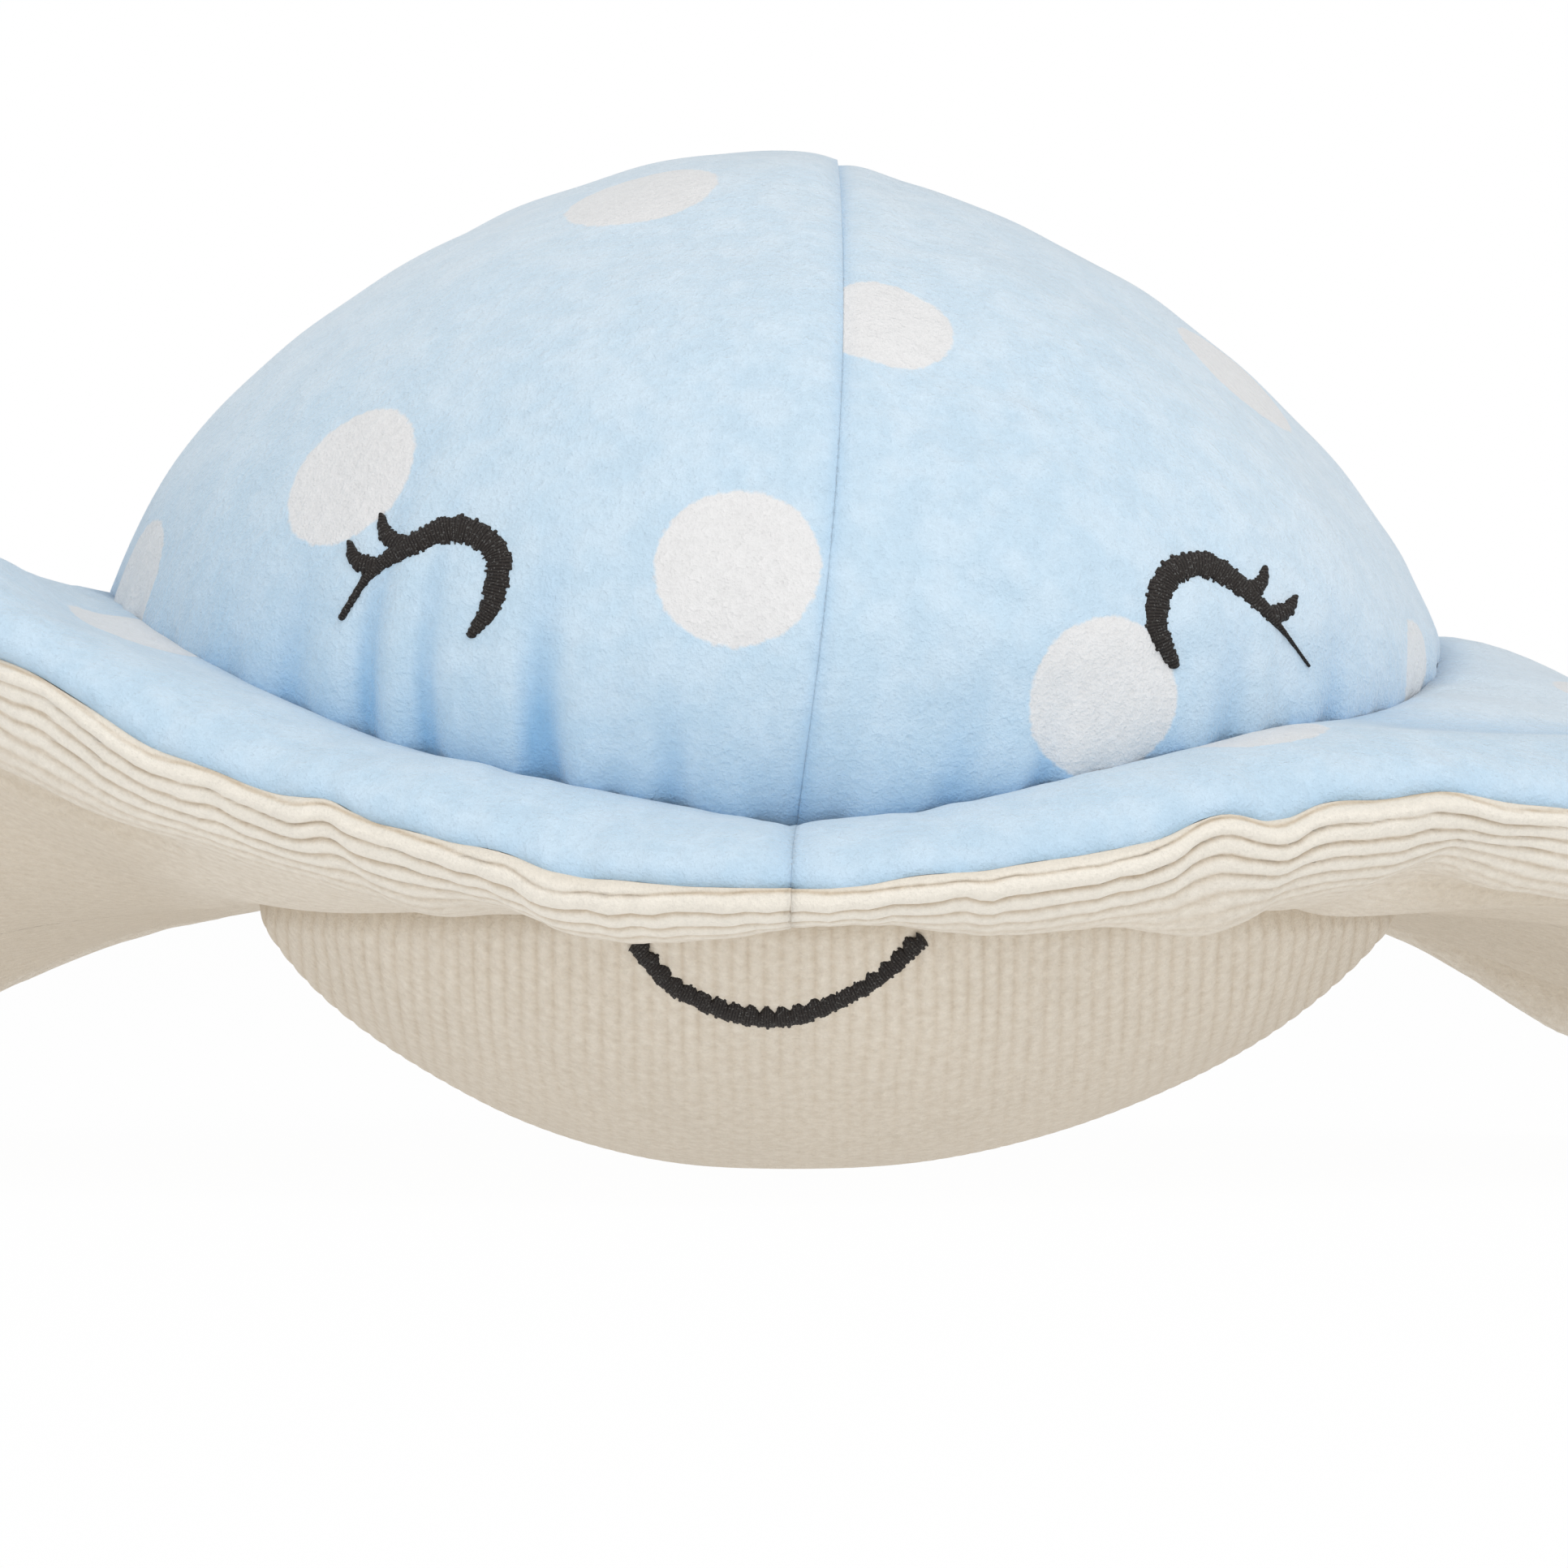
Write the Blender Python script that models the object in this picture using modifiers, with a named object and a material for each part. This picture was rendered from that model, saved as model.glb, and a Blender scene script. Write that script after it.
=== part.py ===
"""Plush manta ray: sewn fabric skins round fibre stuffing, with an embroidered face.

The toy rests on its belly. X runs to the right as one faces it, the face looks along -Y and Z is up.
The origin is the middle of the flat spot under the belly. Angles round the body run from +X towards
+Y, so the face is at -90 degrees, and each wing is looked up by its own angle from its tip's side.
"""

import math

import bmesh
import bpy
import numpy as np

MM = 0.001

# Cloth, stitching and the gaps between touching pieces
FABRIC = 1.8 * MM
CLEARANCE = 0.3 * MM
STUFFING_GAP = 1.15 * MM
EDGE_SEAM_GAP = 1.1 * MM
CENTRE_SEAM_GAP = 0.6 * MM
STITCH_HEIGHT = 0.9 * MM

# Crown: the dome of two panels over the stuffing
CROWN_TOP = 155.5 * MM
CROWN_EQUATOR = 80.0 * MM
CROWN_LOWER_DEPTH = 60.0 * MM
CROWN_HALF_WIDTH_LEFT = 109.5 * MM
CROWN_HALF_WIDTH_RIGHT = 95.0 * MM
CROWN_HALF_LENGTH = 106.0 * MM
CROWN_ROUNDNESS_LEFT = 1.97
CROWN_ROUNDNESS_RIGHT = 1.43
SEAM_LEAN = 7.2 * MM
SEAM_FOOT = 0.5 * MM
SEAM_FOOT_HEIGHT = 50.0 * MM
SEAM_LEAN_RISE = 85.0 * MM

# Crease: the seam where the crown meets the top of the wings
CREASE_FRONT_HEIGHT = 53.6 * MM
CREASE_SIDE_HEIGHT_LEFT = 88.5 * MM
CREASE_SIDE_HEIGHT_RIGHT = 82.5 * MM

# Belly: a shallow bowl with a flat spot to rest on
BELLY_RIM_HEIGHT = 40.0 * MM
BELLY_DEPTH = 50.0 * MM
BELLY_HALF_WIDTH = 92.0 * MM
BELLY_HALF_LENGTH = 94.0 * MM
BELLY_FLAT_RADIUS = 12.0 * MM
BELLY_ROUNDNESS = 1.65
BELLY_SHIFT = 6.0 * MM

# Wings: one flap round the whole body, drawn out to a tip on each side
FLAP_RADIUS = 120.0 * MM
WING_REACH = 85.0 * MM
WING_SWEEP = 6.0
LEADING_EDGE_POWER = 4.0
TRAILING_EDGE_POWER = 9.0
WING_DROOP_POWER = 1.6
EDGE_ROLL_RADIUS = 3.5 * MM
MOST_BLUNTNESS = 5.0

# Stations along the wing edge: angle from the side, height of the edge seam, padding above it,
# padding below it, and how far the crease has climbed from its front height to its side height.
# Each wing runs from the front centre, at -90 degrees, to the rear centre, at 90.
FRONT_CENTRE = (-90.0, 44.2 * MM, 9.4 * MM, 5.8 * MM, 0.0)
REAR_CENTRE = (90.0, 46.0 * MM, 8.5 * MM, 7.0 * MM, 0.0)
RIGHT_WING_STATIONS = (
    FRONT_CENTRE,
    (-78.0, 46.6 * MM, 10.0 * MM, 9.5 * MM, 0.07),
    (-66.0, 50.6 * MM, 11.6 * MM, 13.0 * MM, 0.23),
    (-55.0, 55.8 * MM, 12.0 * MM, 18.0 * MM, 0.37),
    (-45.0, 56.3 * MM, 12.0 * MM, 15.5 * MM, 0.48),
    (-35.0, 53.3 * MM, 13.7 * MM, 10.8 * MM, 0.52),
    (-22.0, 45.0 * MM, 12.5 * MM, 10.0 * MM, 0.62),
    (-8.0, 25.0 * MM, 9.0 * MM, 9.0 * MM, 0.80),
    (6.0, 6.5 * MM, 6.5 * MM, 9.0 * MM, 0.96),
    (18.0, 5.5 * MM, 7.0 * MM, 9.0 * MM, 1.0),
    (29.0, 16.0 * MM, 8.0 * MM, 8.0 * MM, 0.95),
    (38.0, 39.0 * MM, 9.0 * MM, 8.0 * MM, 0.83),
    (55.0, 46.0 * MM, 9.0 * MM, 7.5 * MM, 0.45),
    REAR_CENTRE,
)
LEFT_WING_STATIONS = (
    FRONT_CENTRE,
    (-78.0, 45.4 * MM, 10.8 * MM, 8.6 * MM, 0.09),
    (-66.0, 51.0 * MM, 12.0 * MM, 11.8 * MM, 0.20),
    (-55.0, 57.0 * MM, 13.0 * MM, 17.0 * MM, 0.33),
    (-45.0, 66.0 * MM, 15.0 * MM, 20.5 * MM, 0.50),
    (-35.0, 79.0 * MM, 20.0 * MM, 22.0 * MM, 0.67),
    (-22.0, 89.0 * MM, 20.0 * MM, 17.0 * MM, 0.86),
    (-8.0, 55.0 * MM, 11.0 * MM, 11.0 * MM, 0.98),
    (6.0, 12.5 * MM, 7.0 * MM, 9.0 * MM, 1.0),
    (18.0, 7.5 * MM, 7.0 * MM, 9.0 * MM, 0.97),
    (29.0, 29.0 * MM, 8.0 * MM, 8.0 * MM, 0.89),
    (39.0, 43.0 * MM, 9.0 * MM, 8.0 * MM, 0.75),
    (55.0, 46.0 * MM, 9.0 * MM, 7.5 * MM, 0.43),
    REAR_CENTRE,
)

# Tail: a tapered tube out of the rear edge, down to the ground behind
TAIL_ROOT_INSET = 12.0 * MM
TAIL_LENGTH = 105.0 * MM
TAIL_ROOT_RADIUS = 8.6 * MM
TAIL_TIP_RADIUS = 3.6 * MM
TAIL_TIP_HEIGHT = 4.2 * MM
TAIL_TIP_BLUNTNESS = 8
TAIL_STUFFED_SHARE = 0.93

# Embroidery: strokes through (x, height) points as seen from the front, then widths along them
EYE_LEFT_ARC = (
    (-64.6 * MM, 82.0 * MM),
    (-59.8 * MM, 89.0 * MM),
    (-54.5 * MM, 92.6 * MM),
    (-47.2 * MM, 94.9 * MM),
    (-41.8 * MM, 91.4 * MM),
    (-42.2 * MM, 84.6 * MM),
    (-45.6 * MM, 79.2 * MM),
)
EYE_LEFT_LASHES = (
    ((-54.9 * MM, 92.2 * MM), (-57.9 * MM, 94.4 * MM), (-58.8 * MM, 97.6 * MM)),
    ((-58.9 * MM, 89.6 * MM), (-62.3 * MM, 90.7 * MM), (-63.5 * MM, 93.7 * MM)),
)
EYE_RIGHT_ARC = (
    (54.8 * MM, 74.9 * MM),
    (51.9 * MM, 81.6 * MM),
    (54.0 * MM, 88.6 * MM),
    (60.4 * MM, 89.8 * MM),
    (68.4 * MM, 83.3 * MM),
    (75.0 * MM, 75.4 * MM),
)
EYE_RIGHT_LASHES = (
    ((65.2 * MM, 86.0 * MM), (67.6 * MM, 87.6 * MM), (68.3 * MM, 90.2 * MM)),
    ((68.6 * MM, 82.9 * MM), (71.5 * MM, 83.7 * MM), (73.1 * MM, 86.0 * MM)),
)
EYE_WIDTH = 3.6 * MM
EYE_END_WIDTH = 1.0 * MM
LASH_WIDTH = 2.4 * MM
LASH_TIP_WIDTH = 0.8 * MM
LASH_LIFT = 0.8 * CLEARANCE
LASH_HEIGHT = 1.2 * STITCH_HEIGHT
MOUTH_ARC = (
    (-22.6 * MM, 35.7 * MM),
    (-15.6 * MM, 28.6 * MM),
    (-2.5 * MM, 24.7 * MM),
    (10.8 * MM, 29.6 * MM),
    (18.9 * MM, 36.6 * MM),
)
MOUTH_WIDTH = 2.6 * MM
MOUTH_END_WIDTH = 1.6 * MM

# Mesh density
WING_ANGLE_STEPS = 38
WING_SECTION_STEPS = 8
CROWN_ANGLE_STEPS = 18
CROWN_RISE_STEPS = 12
BELLY_ANGLE_STEPS = 2 * CROWN_ANGLE_STEPS
BELLY_RISE_STEPS = 8
TAIL_STEPS = 9
TAIL_SEAT_SPAN = math.radians(24.0)
TAIL_SEAT_STEPS = 12
TAIL_SIDE_STEPS = 14
STROKE_STEPS = 16
LASH_STEPS = 5
STROKE_SWELL_POWER = 0.7
SOLVE_STEPS = 40

# Colours
PLUSH_BLUE = (0.57, 0.74, 0.87)
CORDUROY_CREAM = (0.71, 0.63, 0.51)
THREAD_BLACK = (0.022, 0.02, 0.022)
FIBRE_WHITE = (0.86, 0.86, 0.84)

FULL_TURN = 2.0 * math.pi
QUARTER_TURN = 0.5 * math.pi

# Numerical steps: for slopes, for staying off a surface's ends, and for merging a pole's points
SLOPE_STEP = 1e-4
END_MARGIN = 2.0 * SLOPE_STEP
CROWN_POLE_MARGIN = 0.015
BELLY_POLE_MARGIN = 0.02
MERGE_DISTANCE = 1e-6


def clear_scene():
    """Remove whatever the scene holds."""
    for old in list(bpy.data.objects):
        bpy.data.objects.remove(old, do_unlink=True)


def make_collection(name, helper=False):
    """A collection in the scene; helpers are left out of renders."""
    collection = bpy.data.collections.new(name)
    collection.hide_render = helper
    bpy.context.scene.collection.children.link(collection)
    return collection


def make_material(name, colour, roughness):
    """A plain Principled material."""
    material = bpy.data.materials.new(name)
    material.use_nodes = True
    shader = material.node_tree.nodes["Principled BSDF"]
    shader.inputs["Base Color"].default_value = (*colour, 1.0)
    shader.inputs["Roughness"].default_value = roughness
    shader.inputs["Metallic"].default_value = 0.0
    material.diffuse_color = (*colour, 1.0)
    return material


def smooth_through(stations, at, level_ends=True):
    """Values at the places `at` on a smooth curve through (place, value) rows.

    Each stretch is a cubic that takes its end slopes from the neighbours on both sides, and the
    curve starts and ends level or along its first and last stretch.
    """
    rows = np.asarray(stations, dtype=float)
    place = rows[:, 0]
    value = rows[:, 1]
    slope = np.zeros(len(rows))
    slope[1:-1] = (value[2:] - value[:-2]) / (place[2:] - place[:-2])
    if not level_ends:
        slope[0] = (value[1] - value[0]) / (place[1] - place[0])
        slope[-1] = (value[-1] - value[-2]) / (place[-1] - place[-2])
    at = np.clip(at, place[0], place[-1])
    low = np.clip(np.searchsorted(place, at, side="right") - 1, 0, len(rows) - 2)
    span = place[low + 1] - place[low]
    part = (at - place[low]) / span
    rest = 1.0 - part
    return (
        value[low] * (1.0 + 2.0 * part) * rest**2
        + value[low + 1] * (3.0 - 2.0 * part) * part**2
        + slope[low] * span * part * rest**2
        - slope[low + 1] * span * rest * part**2
    )


def seam_line(height):
    """How far to the right of the middle the crown's centre seam lies at a height."""
    rise = np.clip((height - SEAM_FOOT_HEIGHT) / SEAM_LEAN_RISE, 0.0, None)
    return SEAM_FOOT + SEAM_LEAN * np.sin(QUARTER_TURN * rise)


def crown_at_height(angle, height):
    """The crown's outer surface: at each height an oval, fuller and rounder on the left."""
    side = np.cos(angle)
    above = np.clip((height - CROWN_EQUATOR) / (CROWN_TOP - CROWN_EQUATOR), 0.0, 1.0)
    below = np.clip((CROWN_EQUATOR - height) / CROWN_LOWER_DEPTH, 0.0, 1.0)
    middle_power = 0.5 * (CROWN_ROUNDNESS_LEFT + CROWN_ROUNDNESS_RIGHT)
    power = middle_power - 0.5 * (CROWN_ROUNDNESS_LEFT - CROWN_ROUNDNESS_RIGHT) * side
    size = (1.0 - above**power) ** (1.0 / power) * np.sqrt(1.0 - below**2)
    middle_width = 0.5 * (CROWN_HALF_WIDTH_LEFT + CROWN_HALF_WIDTH_RIGHT)
    half_width = middle_width - 0.5 * (CROWN_HALF_WIDTH_LEFT - CROWN_HALF_WIDTH_RIGHT) * side
    x = seam_line(height) + half_width * size * side
    y = CROWN_HALF_LENGTH * size * np.sin(angle)
    return np.stack([x, y, height + 0.0 * x], axis=-1)


def edge_angle(angle):
    """The angle from the nearer wing's side, in degrees: -90 at the face, 90 at the tail."""
    return np.degrees(np.arcsin(np.clip(np.sin(angle), -1.0, 1.0)))


def edge_values(angle, column):
    """One column of the wing stations, for each angle round the body."""
    side = edge_angle(angle)
    right = [(row[0], row[column]) for row in RIGHT_WING_STATIONS]
    left = [(row[0], row[column]) for row in LEFT_WING_STATIONS]
    return np.where(
        np.cos(angle) >= 0.0, smooth_through(right, side), smooth_through(left, side)
    )


def crease_height(angle):
    """The crease is low at the front and the rear, and climbs to the sides by the stations."""
    side = np.where(np.cos(angle) >= 0.0, CREASE_SIDE_HEIGHT_RIGHT, CREASE_SIDE_HEIGHT_LEFT)
    return CREASE_FRONT_HEIGHT + (side - CREASE_FRONT_HEIGHT) * edge_values(angle, 4)


def crown_surface(angle, rise):
    """The crown from the crease, at rise 0, to its top, at rise 1."""
    above_equator = crease_height(angle) - CROWN_EQUATOR
    depth = np.where(above_equator > 0.0, CROWN_TOP - CROWN_EQUATOR, CROWN_LOWER_DEPTH)
    foot = np.arcsin(above_equator / depth)
    lift = foot + (QUARTER_TURN - foot) * rise
    reach = np.where(lift > 0.0, CROWN_TOP - CROWN_EQUATOR, CROWN_LOWER_DEPTH)
    return crown_at_height(angle, CROWN_EQUATOR + reach * np.sin(lift))


def belly_surface(angle, rise):
    """The belly from the middle of its flat spot, at rise 0, to its rim, at rise 1."""
    turn = rise * np.arccos((1.0 - BELLY_RIM_HEIGHT / BELLY_DEPTH) ** (0.5 * BELLY_ROUNDNESS))
    outward = np.sin(turn) ** (2.0 / BELLY_ROUNDNESS)
    half_width = BELLY_FLAT_RADIUS + (BELLY_HALF_WIDTH - BELLY_FLAT_RADIUS) * outward
    half_length = BELLY_FLAT_RADIUS + (BELLY_HALF_LENGTH - BELLY_FLAT_RADIUS) * outward
    x = BELLY_SHIFT * outward + half_width * np.cos(angle)
    y = half_length * np.sin(angle)
    z = BELLY_DEPTH * (1.0 - np.cos(turn) ** (2.0 / BELLY_ROUNDNESS))
    return np.stack([x, y, z], axis=-1)


def wing_edge(angle):
    """The edge seam: a round flap with a swept tip on each side."""
    from_tip = np.radians(edge_angle(angle) - WING_SWEEP)
    power = np.where(from_tip < 0.0, LEADING_EDGE_POWER, TRAILING_EDGE_POWER)
    reach = np.clip(np.cos(from_tip), 0.0, 1.0) ** power
    radius = FLAP_RADIUS + WING_REACH * reach
    height = edge_values(angle, 1)
    return np.stack([radius * np.cos(angle), radius * np.sin(angle), height], axis=-1)


def outward_in_plan(angle):
    """Level unit vectors away from the body's middle."""
    return np.stack([np.cos(angle), np.sin(angle), 0.0 * angle], axis=-1)


def wing_sheet(angle, turn, root, padding, side):
    """One side of the wing, from its root at turn 0 round to the edge seam at a quarter turn.

    The section is a quarter oval of the padding's height over a line that droops from root to edge,
    and it is blunter where the wing is long, so that its edge keeps the same roll.
    """
    edge = wing_edge(angle)
    edge[..., 2] += side * 0.5 * EDGE_SEAM_GAP
    length = np.linalg.norm(edge[..., :2] - root[..., :2], axis=-1)
    bluntness = np.clip(2.0 * length * EDGE_ROLL_RADIUS / padding**2, 2.0, MOST_BLUNTNESS)
    across = np.sin(turn) ** (2.0 / bluntness)
    plan = root + (edge - root) * across[..., None]
    fall = root[..., 2] - edge[..., 2] - side * padding
    droop = 1.0 - across**WING_DROOP_POWER
    height = edge[..., 2] + side * padding * np.cos(turn) + fall * droop
    plan[..., 2] = np.maximum(height, 0.0)
    return plan


def toward_edge(part):
    """Section turns for parts 0 to 1 of the way out, closer together near the root and the edge."""
    return QUARTER_TURN * (0.5 - 0.5 * np.cos(math.pi * part))


def wing_top_surface(angle, turn):
    """The plush side of the wings, from the crease to the edge seam."""
    root = crown_surface(angle, 0.0 * angle) + CLEARANCE * outward_in_plan(angle)
    return wing_sheet(angle, turn, root, edge_values(angle, 2), 1.0)


def wing_under_surface(angle, turn):
    """The corduroy side of the wings, from the belly's rim to the edge seam."""
    root = belly_surface(angle, 1.0 + 0.0 * angle) + CLEARANCE * outward_in_plan(angle)
    return wing_sheet(angle, turn, root, edge_values(angle, 3), -1.0)


def tail_surface(turn, along):
    """The tail: rings round a spine that leaves the rear edge level and sinks to the ground."""
    root_height = REAR_CENTRE[1]
    start = FLAP_RADIUS - TAIL_ROOT_INSET
    sink = 0.5 - 0.5 * np.cos(math.pi * along)
    radius = TAIL_ROOT_RADIUS + (TAIL_TIP_RADIUS - TAIL_ROOT_RADIUS) * along
    radius = radius * np.sqrt(np.clip(1.0 - along**TAIL_TIP_BLUNTNESS, 0.0, 1.0))
    x = radius * np.cos(turn)
    y = start + (TAIL_ROOT_INSET + TAIL_LENGTH) * along
    z = root_height + (TAIL_TIP_HEIGHT - root_height) * sink + radius * np.sin(turn)
    return np.stack([x, y + 0.0 * x, z], axis=-1)


def surface_normal(surface, first, second):
    """Unit normals of a surface of two parameters, from its slopes."""
    along_first = surface(first + SLOPE_STEP, second) - surface(first - SLOPE_STEP, second)
    along_second = surface(first, second + SLOPE_STEP) - surface(first, second - SLOPE_STEP)
    normal = np.cross(along_first, along_second)
    return normal / np.linalg.norm(normal, axis=-1, keepdims=True)


def new_object(name, bm, collection, material):
    """A named, smooth-shaded object from a finished bmesh."""
    mesh = bpy.data.meshes.new(name)
    bm.to_mesh(mesh)
    bm.free()
    mesh.materials.append(material)
    mesh.shade_smooth()
    made = bpy.data.objects.new(name, mesh)
    collection.objects.link(made)
    return made


def place_vertices(bm, points):
    """Move the vertices of a bmesh to the rows of points."""
    for vertex, point in zip(bm.verts, points):
        vertex.co = point


def grid_on(surface, first_range, second_range, steps):
    """A flat grid primitive laid on surface(first, second) over the two ranges."""
    bm = bmesh.new()
    bmesh.ops.create_grid(bm, x_segments=steps[0], y_segments=steps[1], size=1.0)
    flat = np.array([vertex.co[:] for vertex in bm.verts])
    part = 0.5 * (flat[:, :2] + 1.0)
    first = first_range[0] + (first_range[1] - first_range[0]) * part[:, 0]
    second = second_range[0] + (second_range[1] - second_range[0]) * part[:, 1]
    place_vertices(bm, surface(first, second))
    bmesh.ops.remove_doubles(bm, verts=bm.verts, dist=MERGE_DISTANCE)
    return bm


def make_skin(name, bm, shift, collection, material):
    """A fabric panel: an open sheet moved off the centre seam and given the cloth's thickness."""
    bmesh.ops.translate(bm, verts=bm.verts, vec=(shift, 0.0, 0.0))
    skin = new_object(name, bm, collection, material)
    cloth = skin.modifiers.new("cloth_thickness", "SOLIDIFY")
    cloth.thickness = FABRIC
    cloth.offset = -1.0
    cloth.use_even_offset = True
    return skin


def make_half_skins(collection, plush, corduroy):
    """The crown, the wing tops and the wing undersides, each sewn from a right and a left half."""
    aside = 0.5 * CENTRE_SEAM_GAP
    halves = (("right", -QUARTER_TURN, aside), ("left", QUARTER_TURN, -aside))
    for side, start, shift in halves:
        turn_range = (start, start + math.pi)
        crown = grid_on(
            crown_surface, turn_range, (0.0, 1.0), (CROWN_ANGLE_STEPS, CROWN_RISE_STEPS)
        )
        make_skin(f"crown_{side}", crown, shift, collection, plush)
        top = grid_on(
            lambda part, angle: wing_top_surface(angle, toward_edge(part)),
            (0.0, 1.0),
            turn_range,
            (WING_SECTION_STEPS, WING_ANGLE_STEPS),
        )
        make_skin(f"wing_top_{side}", top, shift, collection, plush)
        under = grid_on(
            lambda angle, part: wing_under_surface(angle, toward_edge(part)),
            turn_range,
            (0.0, 1.0),
            (WING_ANGLE_STEPS, WING_SECTION_STEPS),
        )
        make_skin(f"wing_under_{side}", under, shift, collection, corduroy)


def make_belly(collection, corduroy):
    """The belly panel, with a real flat face where it rests."""
    bowl = grid_on(
        belly_surface, (0.0, FULL_TURN), (0.0, 1.0), (BELLY_ANGLE_STEPS, BELLY_RISE_STEPS)
    )
    rim = [edge for edge in bowl.edges if edge.is_boundary and edge.verts[0].co.z < FABRIC]
    bmesh.ops.contextual_create(bowl, geom=rim)
    bmesh.ops.recalc_face_normals(bowl, faces=bowl.faces)
    lowest = min(bowl.faces, key=lambda face: face.calc_center_median().z)
    if lowest.normal.z > 0.0:
        bmesh.ops.reverse_faces(bowl, faces=bowl.faces)
    return make_skin("belly", bowl, 0.0, collection, corduroy)


def inner_crown(angle, rise):
    """The stuffing's surface under the crown."""
    depth = FABRIC + STUFFING_GAP
    near = np.clip(rise, END_MARGIN, 1.0 - CROWN_POLE_MARGIN)
    return crown_surface(angle, rise) - depth * surface_normal(crown_surface, angle, near)


def inner_belly(angle, rise):
    """The stuffing's surface over the belly."""
    depth = FABRIC + STUFFING_GAP
    near = np.clip(rise, BELLY_POLE_MARGIN, 1.0 - END_MARGIN)
    return belly_surface(angle, rise) - depth * surface_normal(belly_surface, angle, near)


def sphere_on(surface, rings, segments):
    """A UV sphere primitive laid on surface(angle, ring), rings counted from the top pole."""
    bm = bmesh.new()
    bmesh.ops.create_uvsphere(bm, u_segments=segments, v_segments=rings, radius=1.0)
    round_points = np.array([vertex.co[:] for vertex in bm.verts])
    ring = np.rint(np.arccos(np.clip(round_points[:, 2], -1.0, 1.0)) / math.pi * rings)
    angle = np.arctan2(round_points[:, 1], round_points[:, 0])
    place_vertices(bm, surface(angle, ring))
    if bm.calc_volume(signed=True) < 0.0:
        bmesh.ops.reverse_faces(bm, faces=bm.faces)
    return bm


def make_body_filling(collection, fibre):
    """The stuffing under the crown and over the belly, with a plain wall between them."""
    crown_rings = CROWN_RISE_STEPS
    belly_rings = BELLY_RISE_STEPS

    def body(angle, ring):
        on_crown = ring <= crown_rings
        crown_rise = np.clip(1.0 - ring / crown_rings, 0.0, 1.0)
        belly_rise = np.clip(1.0 - (ring - crown_rings - 1.0) / belly_rings, 0.0, 1.0)
        upper = inner_crown(angle, crown_rise)
        lower = inner_belly(angle, belly_rise)
        floor_middle = np.array([0.0, 0.0, FABRIC + STUFFING_GAP])
        last = ring == crown_rings + belly_rings + 2
        lower = np.where(last[:, None], floor_middle, lower)
        return np.where(on_crown[:, None], upper, lower)

    bm = sphere_on(body, crown_rings + belly_rings + 2, BELLY_ANGLE_STEPS)
    return new_object("body_filling", bm, collection, fibre)


def body_wall(angle, height):
    """The body filling's wall between the crown's foot and the belly's rim, at a height."""
    top = inner_crown(angle, 0.0 * angle)
    bottom = inner_belly(angle, 1.0 + 0.0 * angle)
    part = (height - bottom[..., 2]) / (top[..., 2] - bottom[..., 2])
    return bottom + (top - bottom) * part[..., None]


def wing_section(angle, out, on_top, depth):
    """Points round the wing's section, on its top or below, `out` of the way to the edge.

    They lie `depth` inside the outer surface, and the inner end stands on the body's wall.
    """
    turn = toward_edge(out)
    near = np.clip(turn, END_MARGIN, QUARTER_TURN - END_MARGIN)
    top = wing_top_surface(angle, turn) + depth * surface_normal(wing_top_surface, angle, near)
    under = wing_under_surface(angle, turn) - depth * surface_normal(wing_under_surface, angle, near)
    loop = np.where(on_top[:, None], top, under)
    wall = body_wall(angle, loop[..., 2]) + CLEARANCE * outward_in_plan(angle)
    return np.where((out == 0.0)[:, None], wall, loop)


def make_wing_core(name, start, span, steps, depth, collection, material):
    """A solid stretch of the wing: its sections in a row, closed at both ends.

    It lies `depth` inside the wing's outer surface, or outside it where that is negative.
    """
    rings = steps + 2
    half = WING_SECTION_STEPS + 1

    def wing(angle, ring):
        index = np.rint((angle % FULL_TURN) / FULL_TURN * 2 * half) % (2 * half)
        on_top = index < half
        out = np.where(on_top, index, 2 * half - 1 - index) / (half - 1.0)
        station = start + span * np.clip((ring - 1.0) / (rings - 2.0), 0.0, 1.0)
        points = wing_section(station, out, on_top, depth)
        for pole, row in ((0, 1), (rings, rings - 1)):
            points[ring == pole] = points[ring == row].mean(axis=0)
        return points

    return new_object(name, sphere_on(wing, rings, 2 * half), collection, material)


def make_wing_fillings(collection, fibre):
    """The stuffing of the two wings, which meet at the front and the rear centre."""
    inside = FABRIC + STUFFING_GAP
    for side, start, shift in (
        ("right", -QUARTER_TURN, CLEARANCE),
        ("left", QUARTER_TURN, -CLEARANCE),
    ):
        core = make_wing_core(
            f"wing_filling_{side}", start, math.pi, WING_ANGLE_STEPS, inside, collection, fibre
        )
        core.location.x = shift


def cut_with(target, cutter):
    """Take the cutter's shape out of an object."""
    cut = target.modifiers.new("trimmed_to_seat", "BOOLEAN")
    cut.operation = "DIFFERENCE"
    cut.object = cutter
    cut.solver = "EXACT"


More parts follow.
